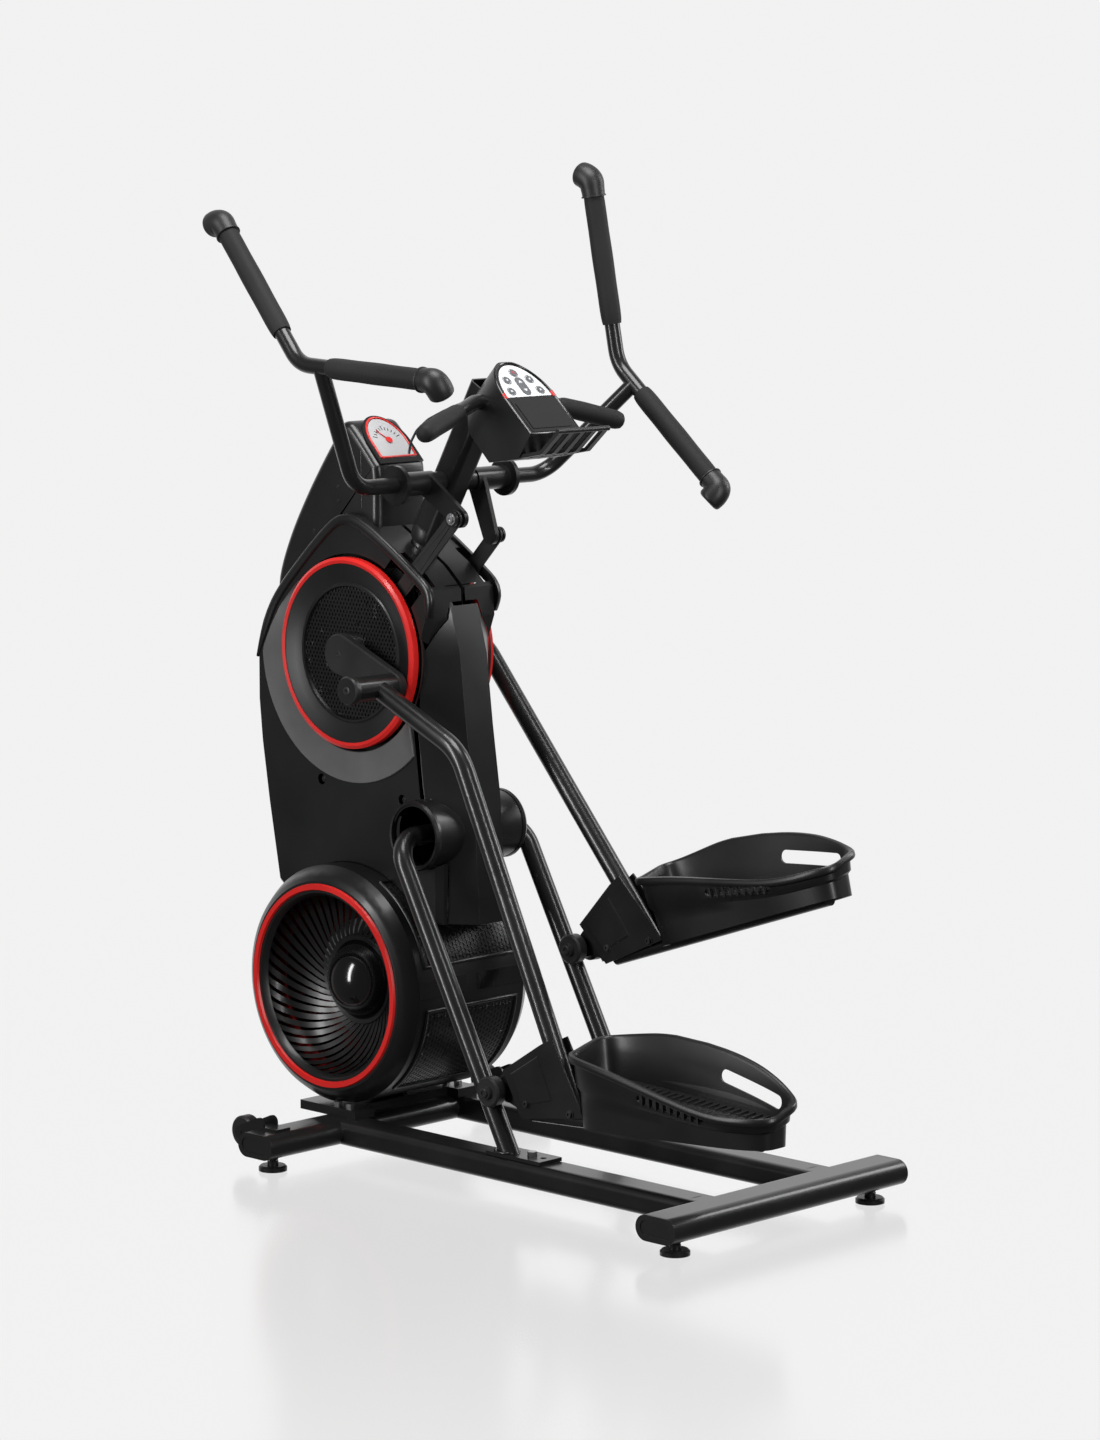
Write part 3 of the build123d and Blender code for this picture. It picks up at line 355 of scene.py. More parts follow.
def hex_pockets(inside, project, pitch, depth, wall=0.74, reach=60):
    """A plate of hexagonal pockets: project(u, v, h) places each point, h below zero is sunk."""
    points, sides = [], []
    radius = pitch / math.sqrt(3)
    around = [(k, (k + 1) % 6) for k in range(6)]
    for i in range(-reach, reach + 1):
        for j in range(-reach, reach + 1):
            u, v = pitch * (i + 0.5 * (j % 2)), pitch * math.sqrt(3) / 2 * j
            if not inside(u, v):
                continue
            rim, lip, well, back = (len(points) + 6 * ring for ring in range(4))
            for size, level in ((1.0, 0.0), (wall, 0.0), (wall, -depth), (1.0, -depth - 0.8)):
                for a in [math.radians(60 * k + 30) for k in range(6)]:
                    points.append(project(u + radius * size * math.cos(a),
                                          v + radius * size * math.sin(a), level))
            for outer, inner in ((rim, lip), (lip, well)):
                sides += [(outer + k, outer + n, inner + n, inner + k) for k, n in around]
            sides.append(tuple(well + k for k in range(6)))
            sides.append(tuple(back + k for k in range(6))[::-1])
            sides += [(rim + k, rim + n, back + n, back + k) for k, n in around]
    return points, sides


def raised(name, outline, place, low, high, material, slot, body="root"):
    """A flat outline raised between two heights on a face."""
    solid = bar([[place(u, v, h) for u, v in outline] for h in (low, high)])
    return piece(name, solid, material, body, slot, 30)


BOLT_RINGS = ((1.35, 0), (1.35, 0.22), (1.0, 0.24), (1.0, 0.85), (0.88, 1.0), (0.5, 1.0),
              (0.45, 0.55), (0.02, 0.5))  # shares of radius and height; hexagonal from 0.5 inwards


def bolt_head(name, place, direction, radius, height, body, material=LINK_PAINT):
    """A cap screw: a rounded head over a washer, with a sunk hexagon socket."""
    axis = Vector(direction).normalized()
    side = axis.orthogonal().normalized()
    other = axis.cross(side)
    rings = []
    for share, level in BOLT_RINGS:
        ring = []
        for a in circle(24):
            reach = share * radius
            if share <= 0.5:
                reach *= math.cos(math.pi / 6) / math.cos(a % (math.pi / 3) - math.pi / 6)
            ring.append(place + ((side * math.cos(a) + other * math.sin(a)) * reach
                                 + axis * level * height) * MM)
        rings.append(ring)
    return piece(name, bar(rings), material, body, "bright_steel", 30)


# ---- fan ----------------------------------------------------------------------------------------
SLAT_COUNT = 46
SLAT_TWIST = 44.0
SLAT_SECTION = ((0, -0.5), (0, 0.5), (4.5, 0.34), (4.5, -0.34))  # depth, share of the width
BOWL = [(140, 151), (133, 150), (122, 147), (108, 140), (95, 129), (84, 114), (76, 98), (70, 83),
        (64, 70)]
GRILLE_RIM = [(144.5, 156.3), (144.5, 153), (142, 150.5), (134, 146.5), (132, 148.5), (138, 156.3)]
GRILLE_COLLAR = [(64, 76), (68, 73), (66, 66), (58, 60), (50, 62), (56, 74)]
HUB_DOME = [(50, 2), (50, 63)]
HUB_DOME += [(53 + 60 * math.sin(math.radians(a)), 62 * math.cos(math.radians(a)) ** 0.9)
             for a in range(0, 90, 6)]
HUB_DOME += [(113, 0.5)]


def swirl_slats(side):
    """Slats that swirl from the drum's rim down into the bowl."""
    line = smooth_path(BOWL, 3)
    slats = []
    for start in [360 * k / SLAT_COUNT for k in range(SLAT_COUNT)]:
        rings = []
        for i, (x, radius) in enumerate(line):
            t = i / (len(line) - 1)
            turn = start + side * SLAT_TWIST * t ** 1.3
            width = 0.66 * 360 / SLAT_COUNT * (0.85 + 0.3 * t)
            rings.append([spot(side * (x - 0.5 * depth),
                               *polar(FAN, radius + 0.6 * depth, turn + share * width))
                          for depth, share in SLAT_SECTION])
        slats.append(bar(rings))
    return joined(slats)


def fan_grilles():
    """Slats, rim, collar and gloss hub dome on both sides of the drum."""
    for side, name in SIDES:
        slats = cover_piece(f"fan_grille_slats_{name}", swirl_slats(side), 40)
        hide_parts("fan_grilles")
        cover_piece(f"fan_grille_rim_{name}", lathe(GRILLE_RIM, FAN, side, 160), 30)
        cover_piece(f"fan_grille_collar_{name}", lathe(GRILLE_COLLAR, FAN, side, 96), 30)
        cover_piece(f"fan_hub_dome_{name}", lathe(HUB_DOME, FAN, side, 96), 50, GLOSS)


DRUM_RADIUS = 196.8
WINDOW_HALF = 96.0
WINDOW_BORDER = 5.0
WINDOWS = ((118, 164), (188, 232))  # angles round the drum
BAND_ANGLES = range(172, 181, 2)


def drum_spot(middle, u, v, h):
    """Place on the drum: u round it from the middle angle, v along its axis, h off it."""
    return spot(v, *polar(FAN, DRUM_RADIUS + h, middle + math.degrees(u / DRUM_RADIUS)))


def drum_window(number, low, high):
    """A perforated window in a rounded frame, let into the drum between two angles."""
    middle, half = (low + high) / 2, math.radians(high - low) / 2 * DRUM_RADIUS

    def inside(u, v):
        return abs(u) < half and abs(v) < WINDOW_HALF

    def project(u, v, h):
        return drum_spot(middle, u, v, h)
    cover_piece(f"drum_window_{number}", hex_pockets(inside, project, 9.0, 2.2), 25)
    loop = []
    for u0, v0, u1, v1 in ((-1, -1, 1, -1), (1, -1, 1, 1), (1, 1, -1, 1), (-1, 1, -1, -1)):
        for t in [k / 12 for k in range(12)]:
            u = (u0 + (u1 - u0) * t) * (half + WINDOW_BORDER)
            v = (v0 + (v1 - v0) * t) * (WINDOW_HALF + WINDOW_BORDER)
            loop.append([*project(u, v, -0.5), 3.2 * MM])
    cover_piece(f"drum_window_frame_{number}", swept(loop + loop[:1], 10), 60)


def drum_band(number, x0, x1):
    """A plain gloss band between the windows."""
    section = ((x0, 195.6), (x0 + 3, 198.6), (x1 - 3, 198.6), (x1, 195.6))
    rings = [[spot(x, *polar(FAN, radius, angle)) for x, radius in section] for angle in BAND_ANGLES]
    cover_piece(f"drum_band_{number}", bar(rings), 25, GLOSS)


def fan_windows():
    for number, (low, high) in enumerate(WINDOWS, 1):
        drum_window(number, low, high)
    for number, (x0, x1) in enumerate(((-118, -12), (12, 118)), 1):
        drum_band(number, x0, x1)


# ---- crank discs --------------------------------------------------------------------------------
DISC_RIM = [(91.5, 145.6), (91.0, 143), (86.0, 128), (83.0, 115), (84.5, 112.5), (84.5, 109),
            (79.5, 107), (74.5, 108), (76, 140), (80, 145.6)]
DISC_HUB = [(95.6, 12.5), (95.6, 28), (92, 33), (79.5, 36), (77.5, 30), (77.5, 12.5)]
MESH_FACE = 80.8
MESH_INNER, MESH_OUTER = 22, 111


def crank_disc(side, name):
    """Dished rim, mesh face, hub and screws of one crank disc."""
    def inside(u, v):
        return MESH_INNER < math.hypot(u, v) < MESH_OUTER

    def project(u, v, h):
        return spot(side * (MESH_FACE + h), CRANK[0] + u, CRANK[1] + v)

    def disc_piece(part, solid, smooth):
        return piece(f"crank_disc_{part}_{name}", solid, COVER, "crank", "cover_plastic", smooth)
    rim = disc_piece("rim", lathe(DISC_RIM, CRANK, side, 160), 28)
    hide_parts("crank_discs")
    disc_piece("mesh", hex_pockets(inside, project, 7.6, 2.0), 25)
    disc_piece("hub", lathe(DISC_HUB, CRANK, side, 72), 35)
    bolt_head(f"crank_bolt_{name}", spot(side * 109.2, *CRANK), (side, 0, 0), 6, 1.2, "crank")
    for number, turn in enumerate((60, -60), 1):
        place = spot(side * 95.2, *polar(CRANK, 20, CRANK_ANGLE[side] + turn))
        bolt_head(f"crank_screw_{name}_{number}", place, (side, 0, 0), 3, 1.5, "crank")


# ---- tower trim ---------------------------------------------------------------------------------
COVER_FACE = 78.0
COVER_EDGE = [(1037, 423), (1062, 555), (1078, 655), (1085, 725), (1085, 800), (1040, 893),
              (975, 968), (905, 1032), (872, 1045), (840, 1040), (785, 1010), (712, 966),
              (674, 932), (670, 885), (692, 825), (700, 706), (686, 600), (650, 520)]
DISH_OUTER, DISH_INNER = 213.0, 162.0
DISH_FIRST, DISH_LAST = 206, 402  # angles round the crank
DISH_MARGIN = 17.0
BORDER = [(1080, 795), (1038, 886), (968, 962), (900, 1022), (866, 1036), (834, 1030), (780, 1002),
          (712, 958), (676, 928), (676, 890)]
SEAM = [(690, 800), (701, 706), (690, 600), (676, 596)]
COVER_SCREWS = ((925, 605), (735, 590))
TRACK_MOUTH = (684.8, 539.5)
TRACK_COLLAR = [(98, 49), (102, 51), (102.5, 54), (98, 57), (92, 56), (92, 49)]


def reach_to_edge(angle, margin):
    """Distance from the crank axis to the side cover's edge, less a margin."""
    dy, dz = math.cos(math.radians(angle)), math.sin(math.radians(angle))
    best = 1000.0
    for (y0, z0), (y1, z1) in zip(COVER_EDGE, COVER_EDGE[1:]):
        ey, ez = y1 - y0, z1 - z0
        cross = dy * ez - dz * ey
        if abs(cross) < 1e-9:
            continue
        t = ((y0 - CRANK[0]) * ez - (z0 - CRANK[1]) * ey) / cross
        u = ((y0 - CRANK[0]) * dz - (z0 - CRANK[1]) * dy) / cross
        if t > 0 and 0 <= u <= 1:
            best = min(best, t)
    return best - margin


def tower_dish(side, name):
    """Satin grey crescent round the lower front of a crank disc."""
    rings = []
    for angle in range(DISH_FIRST, DISH_LAST + 1, 3):
        taper = min(1.0, (angle - DISH_FIRST) / 24, (DISH_LAST - angle) / 40)
        room = min(DISH_OUTER, reach_to_edge(angle, DISH_MARGIN)) - DISH_INNER
        outer = DISH_INNER + max(1.0, room * min(1, 0.12 + taper ** 0.6))
        section = ((-0.5, DISH_INNER), (1.0, DISH_INNER + 0.5), (1.6, (outer + DISH_INNER) / 2),
                   (3.6, outer - 1), (2.8, outer), (-0.5, outer))
        rings.append([spot(side * (COVER_FACE + rise), *polar(CRANK, radius, angle))
                      for rise, radius in section])
    cover_piece(f"tower_dish_{name}", bar(rings), 30, SATIN_GREY)


def moulding(path, side, face, width, rise):
    """A flat raised strip along (y, z) points on a side face, tapered at both ends."""
    rings = []
    last = len(path) - 1
    for k, (y, z) in enumerate(path):
        before, after = path[max(k - 1, 0)], path[min(k + 1, last)]
        dy, dz = after[0] - before[0], after[1] - before[1]
        taper = min(1.0, 0.25 + k / 5, 0.25 + (last - k) / 5)
        top, reach = rise * taper, width * taper / math.hypot(dy, dz)
        section = ((-0.5, -6), (-0.5, 0.25 * top), (-0.34, top), (0.30, top), (0.5, 0.1 * top), (0.5, -6))
        rings.append([spot(side * (face + lift), y + dz * reach * across, z - dy * reach * across)
                      for across, lift in section])
    return bar(rings)


def tower_border(side, name):
    """Raised moulding round the crank's panel, the panel's seam, its screws and the track's collar."""
    cover_piece(f"tower_border_{name}", moulding(smooth_path(BORDER, 6), side, COVER_FACE, 17, 3.5), 50)
    seam = [[*spot(side * (COVER_FACE - 8), y, z), 2.2 * MM] for y, z in SEAM]
    cover_piece(f"tower_seam_{name}", swept(domed(smooth_path(seam)), 10), 60)
    for number, (y, z) in enumerate(COVER_SCREWS, 1):
        bolt_head(f"cover_screw_{name}_{number}", spot(side * 72, y, z), (side, 0, 0), 4, 2, "root")
    cover_piece(f"track_collar_{name}", lathe(TRACK_COLLAR, TRACK_MOUTH, side, 72), 30)


HOOD_HALF = 56.0
HOOD_OUTLINE = [(1056, 872), (1054, 930), (1028, 996), (990, 1062), (948, 1124), (912, 1172),
                (899, 1189), (884, 1191), (868, 1180), (824, 1134), (813, 1116), (812, 1060),
                (813, 1010), (820, 985), (845, 950), (930, 872)]
HOOD_SCREWS = ((905, 1085), (905, 1062), (962, 1010))
HOOD_RIB = [(852, 1150), (852, 1100), (850, 1052)]


def soft_slab(outline, half, radius, steps=5):
    """A slab over a closed (y, z) outline between x = -half and half, with rounded rims."""
    inward = []
    for (y0, z0), (y1, z1) in zip(outline[-1:] + outline, outline[1:] + outline[:1]):
        size = math.hypot(y1 - y0, z1 - z0)
        inward.append(((z0 - z1) / size, (y1 - y0) / size))
    angles = [math.radians(90 * k / steps) for k in range(steps + 1)]
    layers = [(half - radius + radius * math.sin(a), radius * (1 - math.cos(a))) for a in angles]
    layers = [(-x, inset) for x, inset in layers[::-1]] + layers
    return bar([[spot(x, y + ny * inset, z + nz * inset)
                 for (y, z), (ny, nz) in zip(outline, inward)] for x, inset in layers])


def hood():
    """Moulded hood over the tower's top, with its screws and ribs."""
    outline = smooth_path(HOOD_OUTLINE + HOOD_OUTLINE[:1], 5)[:-1]
    shell = cover_piece("hood_shell", soft_slab(outline, HOOD_HALF, 13), 40)
    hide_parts("top_cover")
    for side, name in SIDES:
        for number, (y, z) in enumerate(HOOD_SCREWS, 1):
            bolt_head(f"hood_screw_{name}_{number}", spot(side * HOOD_HALF, y, z), (side, 0, 0),
                      2.6, 1.2, "root")
        cover_piece(f"hood_rib_{name}", moulding(smooth_path(HOOD_RIB, 4), side, HOOD_HALF, 6, 1.8), 50)


# ---- intensity gauge ----------------------------------------------------------------------------
def half_oval(width, low, high, steps=28):
    """Outline with a straight foot and a rounded top."""
    shoulder = low + (high - 10 - low) * 0.45
    arch = [(width * math.cos(a), shoulder + (high - shoulder) * math.sin(a))
            for a in [math.pi * k / steps for k in range(steps + 1)]]
    return [(-width, low), (width, low)] + arch


def gauge_ticks():
    """Eleven ticks on the dial, every fifth one longer."""
    for k in range(11):
        a = math.pi * (0.1 + 0.8 * k / 10)
        du, dv = math.cos(a), math.sin(a)
        outline = [(reach * du + across * dv, reach * dv - across * du - 4)
                   for reach, across in ((22, -0.7), (22, 0.7), (28 if k % 5 else 31, 0.7),
                                         (28 if k % 5 else 31, -0.7))]
        raised(f"gauge_tick_{k + 1}", outline, gauge_spot, 5.3, 5.7, COVER, "cover_plastic")


def gauge():
    """Gloss base, grey dial with ticks, red trim, needle and needle hub."""
    base = raised("gauge_base", half_oval(48, -50, 50), gauge_spot, -5, 4.5, GLOSS, "cover_plastic")
    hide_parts("gauge_panel")
    raised("gauge_face", half_oval(36, -36, 42), gauge_spot, 4.0, 5.4, GAUGE_GREY, "panel_white")
    loop = [[*gauge_spot(u, v, 4.8), 1.9 * MM] for u, v in half_oval(38.5, -38, 45)]
    piece("gauge_trim", swept(loop + loop[:1], 10), RED, "root", "red_plastic", 60)
    gauge_ticks()
    hub = [(6 * math.cos(a), 6 * math.sin(a) - 4) for a in circle(24)]
    raised("gauge_hub", hub, gauge_spot, 5.3, 7.5, RED, "red_plastic")
    needle = [(-1.4, -4), (1.4, -4), (-15, 17), (-16, 16.4)]
    raised("gauge_needle", needle, gauge_spot, 6.2, 7, RED, "red_plastic")


# ---- mast ---------------------------------------------------------------------------------------
MAST_UP = Vector((0, -0.4878, 0.8730))
MAST_FOOT_Z = 968.0
BARE_POST = ((-20, 21.6), (0, 21.6), (38, 21.6), (46, 21.6))  # height up the mast, radius
MAST_CLAMP = ((40, 24), (41, 27.5), (44, 29), (62, 29), (65, 27.5), (66, 24))


def mast_trim():
    """Bright bare post between the tower and the sleeve, with a clamp collar."""
    foot = spot(0, PIVOT[0] + (MAST_FOOT_Z - PIVOT[1]) * -0.5587, MAST_FOOT_Z)

    def turned(profile):
        return swept([[*(foot + MAST_UP * height * MM), radius * MM] for height, radius in profile], 40)
    piece("mast_bare_post", turned(BARE_POST), STEEL, "root", "bright_steel", 40)
    piece("mast_clamp", turned(MAST_CLAMP), LINK_PAINT, "root", "frame_metal", 40)


# ---- arms ---------------------------------------------------------------------------------------
def arm_point(side, radius, degrees, x):
    """Place on an arm; the right arm stands a full swing further back."""
    return spot(side * x, *polar(PIVOT, radius, degrees + (ARM_SWING if side > 0 else 0)))


def arm_ends(side):
    """Top end, elbow and lower end of an arm's bent bar."""
    return (arm_point(side, 478, 59.4, 268), arm_point(side, 200, 79.5, 294),
            arm_point(side, 316, 144.8, 290))


def foam_path(start, end, radius, waves, count=34):
    """A foam sleeve's line, a touch fatter between its ends and softly uneven."""
    path = []
    for k in range(count + 1):
        t = k / count
        swell = 0.5 * math.sin(math.pi * t) + 0.18 * math.sin(waves * math.pi * t)
        edge = 1.4 * (math.exp(-k * 0.9) + math.exp(-(count - k) * 0.9))
        path.append([*start.lerp(end, t), (radius + swell - edge) * MM])
    return path


def arm_foam(side, name):
    """Upper and lower foam sleeves of an arm."""
    top, elbow, lower = arm_ends(side)
    for grip, start, end in (("upper", top.lerp(elbow, 0.05), top.lerp(elbow, 0.78)),
                             ("lower", elbow.lerp(lower, 0.24), elbow.lerp(lower, 0.94))):
        solid = swept(foam_path(start, end, 16.6, 5), 36)
        foam = piece(f"{name}_{grip}_grip", solid, FOAM, f"{name}_arm", "grip_foam", 50)
    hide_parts(f"{name}_arm_grips")


CAP_BEND = ((-0.026, 0, 18.4), (-0.013, 0, 19.4), (-0.001, 0.06, 20.8), (0.003, 0.42, 21.2),
            (0.003, 0.85, 20.6))  # metres past the bar's end, share of the lean, radius
CAP_NOSE = ((2.5, 19.6), (4.5, 17.6), (5.4, 14.0), (5.0, 13.2), (5.2, 3.0))  # reach, radius
CAP_RIM = ((26.2, 18.6), (25.6, 20.2), (23.6, 20.2), (23.0, 19.0))  # short of the end, radius


def end_cap(side, name, cap, end, inner, lean):
    """A club-like rubber cap that leans over at a bar's end, with a raised rim."""
    away = (end - inner).normalized()
    turn = Matrix.Rotation(math.radians(ARM_SWING if side > 0 else 0), 3, "X")
    over = turn @ Vector(lean) * MM
    path = smooth_path([[*(end + away * past + over * share), radius * MM]
                        for past, share, radius in CAP_BEND], 7)
    tip = Vector(path[-1][:3])
    lead = (tip - Vector(path[-3][:3])).normalized()
    path += [[*(tip + lead * reach * MM), radius * MM] for reach, radius in CAP_NOSE]
    piece(f"{name}_{cap}_grip_cap", swept(path, 32), RUBBER, f"{name}_arm", "grip_foam", 60)
    rim = [[*(end - away * short * MM), radius * MM] for short, radius in CAP_RIM]
    piece(f"{name}_{cap}_cap_rim", swept(rim, 32), RUBBER, f"{name}_arm", "grip_foam", 30)


def arm_grips():
    """Foam sleeves, end caps and the lever bolt of both arms."""
    for side, name in SIDES:
        top, elbow, lower = arm_ends(side)
        arm_foam(side, name)
        end_cap(side, name, "upper", top, elbow, (side * -2, 24, -7))
        end_cap(side, name, "lower", lower, elbow, (side * -14, -2, -22))
        bolt_head(f"{name}_lever_bolt", arm_point(side, 95, 213, 79), (side, 0, 0), 7, 4,
                  f"{name}_arm", STEEL)


def static_grips():
    """Short foam grips of the fixed handlebar."""
    for side, name in SIDES:
        end, inner = spot(side * 218, 537, 1197), spot(side * 62, 583, 1237)
        solid = swept(domed(foam_path(end, end.lerp(inner, 0.66), 15.2, 4)), 32)
        foam = piece(f"static_grip_{name}", solid, FOAM, "root", "grip_foam", 60)
        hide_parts("static_grips")


# ---- foot trays ---------------------------------------------------------------------------------
TRAY_FRONT, TRAY_REAR, TRAY_HALF = 189.0, 589.0, 57.0
TRAY_MIDDLE, TRAY_REACH = (TRAY_FRONT + TRAY_REAR) / 2, (TRAY_REAR - TRAY_FRONT) / 2
TRAY_FOOT = -36.0
HIGH_RIM = [(184, 94), (310, 107), (392, 99), (470, 83), (530, 60), (590, 26)]
LOW_RIM = [(184, 81), (270, 67), (352, 47), (434, 26), (493, 14), (590, 12)]
# Section of the wall: outward shift, what the height counts from, and the height over it. Skirt and
# wall heights are shares, of the way from foot to rim and from floor to rim.
TRAY_SECTION = [(-17, "foot", 1), (-14, "foot", 0), (-12.5, "skirt", 0.30), (-11.5, "skirt", 0.50),
                (-6.0, "skirt", 0.57), (-3.4, "rim", -13), (4.6, "rim", -11), (6.2, "rim", -8.5),
                (6.0, "rim", -2.5), (4.2, "rim", 0), (-1.2, "rim", 0.6), (-3.6, "rim", -0.8),
                (-5.2, "rim", -5), (-7.4, "wall", 0.6), (-9.6, "wall", 0.3), (-13, "floor", 1.2),
                (-19, "floor", 0), (-19, "floor", -4), (-15, "floor", -4)]
BED_EDGE = 16  # the section's point where the floor starts
HIGH_SLOT = (30, 90, (432, 52), (540, 24), 21)  # x from and to, two ends, height
LOW_SLOT = (-90, -40, (346, 25), (470, 5), 11)


def between_rows(table, p):
    for (p0, q0), (p1, q1) in zip(table, table[1:]):
        if p <= p1:
            return q0 + (q1 - q0) * max(0.0, (p - p0) / (p1 - p0))
    return table[-1][1]


def along(table, p):
    """Height read from a table and rounded over its corners."""
    return sum(between_rows(table, p + shift) for shift in range(-36, 37, 6)) / 13


def tray_floor(p):
    """Height of the sloping floor."""
    return 27.5 - 0.0886 * (p - 240)


def tray_rim(x, p):
    """Height of the rim, which blends from the low wall to the high one."""
    share = 0.5 + 0.5 * math.tanh(x / 26)
    return along(LOW_RIM, p) * (1 - share) + along(HIGH_RIM, p) * share


def tray_outline(steps=120):
    """Plan of the tray: a long superellipse, blunter at the front."""
    points = []
    for a in circle(steps):
        c, s = math.cos(a), math.sin(a)
        power = 2 / (5.2 if s < 0 else 3.4)
        points.append((math.copysign(abs(c) ** power, c) * TRAY_HALF,
                       TRAY_MIDDLE + math.copysign(abs(s) ** power, s) * TRAY_REACH))
    return points


def section_height(base, level, rim, floor):
    """Height of a point of the tray's section."""
    return {"foot": TRAY_FOOT + level, "skirt": TRAY_FOOT + (rim - TRAY_FOOT) * level,
            "rim": rim + level, "wall": floor + (rim - floor) * level, "floor": floor + level}[base]


def tray_rows():
    """The wall's section at each place round the tray."""
    rows = []
    for x, p in tray_outline():
        rim, floor = tray_rim(x, p), tray_floor(p)
        out_x, out_p = x / TRAY_HALF, (p - TRAY_MIDDLE) / TRAY_REACH
        size = math.hypot(out_x, out_p)
        rows.append([(x + shift * out_x / size, p + shift * out_p / size,
                      section_height(base, level, rim, floor)) for shift, base, level in TRAY_SECTION])
    return rows


def tray_bed(side, name, edge):
    """The floor plate inside the wall, as a fan of triangles over and under it."""
    count = len(edge)
    points = [tray_spot(side, name, x, p, q - drop) for drop in (0, 3.5) for x, p, q in edge]
    points += [tray_spot(side, name, 0, TRAY_MIDDLE, tray_floor(TRAY_MIDDLE) - drop) for drop in (0, 3.5)]
    top, low = 2 * count, 2 * count + 1
    sides = []
    for k in range(count):
        n = (k + 1) % count
        sides += [(k, n, top), (count + n, count + k, low), (k, n, count + n, count + k)]
    piece(f"{name}_tray_bed", (points, sides), TRAY, f"{name}_leg", "tray_plastic", 30)


def slot_cutter(side, name, x0, x1, front, back, tall, steps=10):
    """A slot-shaped bar that runs across a wall, for cutting it."""
    direction = math.atan2(back[1] - front[1], back[0] - front[0])
    outline = []
    for (p, q), start in ((back, -90), (front, 90)):
        for a in [math.radians(start + 180 * k / steps) + direction for k in range(steps + 1)]:
            outline.append((p + tall / 2 * math.cos(a), q + tall / 2 * math.sin(a)))
    cutter = solid_object("cutter", bar([[tray_spot(side, name, x, p, q) for p, q in outline]
                                         for x in (x0, x1)]))
    cutter.data.shade_flat()
    return cutter


def cut_slots(shell, side, name):
    """Opens the through slot in the high wall and the grip slot in the low wall."""
    cutters = [slot_cutter(side, name, *slot) for slot in (HIGH_SLOT, LOW_SLOT)]
    for cutter in cutters:
        cut = shell.modifiers.new("slot", "BOOLEAN")
        cut.operation = "DIFFERENCE"
        cut.solver = "EXACT"
        cut.object = cutter
    bpy.context.view_layer.update()
    graph = bpy.context.evaluated_depsgraph_get()
    made = bpy.data.meshes.new_from_object(shell.evaluated_get(graph))
    shell.modifiers.clear()
    shell.data = made
    for cutter in cutters:
        bpy.data.objects.remove(cutter)


def slot_fins(side, name):
    """Upright fins across the grip slot."""
    for number in range(9):
        p, q = 352 + number * 14, 25 - (6 + number * 14) * 20 / 124
        solid = bar([[tray_spot(side, name, x, p + dp, q + dq)
                      for dp, dq in ((-2, -8), (2, -8), (2, 8), (-2, 8))]
                     for x in (-TRAY_HALF + 3, -TRAY_HALF + 10)])
        piece(f"{name}_tray_fin_{number + 1}", solid, TRAY, f"{name}_leg", "tray_plastic", 30)


def tread(side, name):
    """Slanting cross ribs on the tray's floor, each narrower at its top."""
    ribs = []
    for p in [232 + number * 14.5 for number in range(22)]:
        for x0, x1, skew in ((-34, -3, 6), (3, 34, -6)):
            corners = ((x0, -2.6), (x1, -2.6 + skew), (x1, 2.2 + skew), (x0, 2.2))
            ribs.append(bar([[tray_spot(side, name, x * (1 - inset / 40), p + dp * (1 - inset / 4),
                                        tray_floor(p + dp) + lift) for x, dp in corners]
                             for lift, inset in ((-0.5, 0), (2.6, 0.8))]))
    piece(f"{name}_tray_tread", joined(ribs), RUBBER, f"{name}_leg", "tray_plastic", 30)


def foot_tray(side, name):
    """Moulded tray: skirt, rolled lip, inner wall, slotted sides, floor and tread."""
    rows = tray_rows()
    points = [tray_spot(side, name, *point) for row in rows for point in row]
    solid = (points, grid_faces(len(rows), len(TRAY_SECTION), True, True))
    shell = piece(f"{name}_tray_shell", solid, TRAY, f"{name}_leg", "tray_plastic", 40)
    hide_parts(f"{name}_pedal")
    cut_slots(shell, side, name)
    slot_fins(side, name)
    tray_bed(side, name, [row[BED_EDGE] for row in rows])
    tread(side, name)


# ---- leg detail ---------------------------------------------------------------------------------
BRACKET_FACE = 18.4
BRACKET_BOLTS = ((-40, 62), (-82, 146))
EMBOSS = ((14, 48), (22, 118), (-52, 118), (-40, 52))
EMBOSS_CENTRE = (-14, 84)
PIN_CAP = [(0, 20.5), (0.2, 22.6), (3, 23.2), (9, 23.2), (11.5, 21.5), (12, 16), (10.5, 14), (10.5, 1),
           (0, 1)]
PIN_CAP_X = 195.0


def bracket_trim(side, name, face, label):
    """Bolts and the embossed plate on one face of a roller bracket."""
    x = face * BRACKET_FACE
    for number, (a, b) in enumerate(BRACKET_BOLTS, 1):
        bolt_head(f"{name}_bracket_bolt_{label}_{number}", leg_spot(side, name, x, a, b), (face, 0, 0),
                  5.5, 4.5, f"{name}_leg")
    rings = []
    for lift, inset in ((0, 0), (1.8, 3.2)):
        rings.append([leg_spot(side, name, x + face * lift, a + (EMBOSS_CENTRE[0] - a) * inset / 50,
                               b + (EMBOSS_CENTRE[1] - b) * inset / 50) for a, b in EMBOSS])
    piece(f"{name}_bracket_emboss_{label}", bar(rings), PAINT, f"{name}_leg", "frame_metal", 20)


def crank_pin_cap(side, name):
    """Round cap and screw over the leg's crank-pin housing."""
    housing = leg_spot(side, name, 0, *LEG_PIN)
    centre = (housing.y / MM - REAR_FEET, housing.z / MM)
    solid = lathe([(PIN_CAP_X + x, radius) for x, radius in PIN_CAP], centre, side, 64)
    piece(f"{name}_crank_pin_cap", solid, NYLON, f"{name}_leg", "tray_plastic", 30)
    bolt_head(f"{name}_crank_pin_screw", spot(side * 205, *centre), (side, 0, 0), 7, 3, f"{name}_leg")


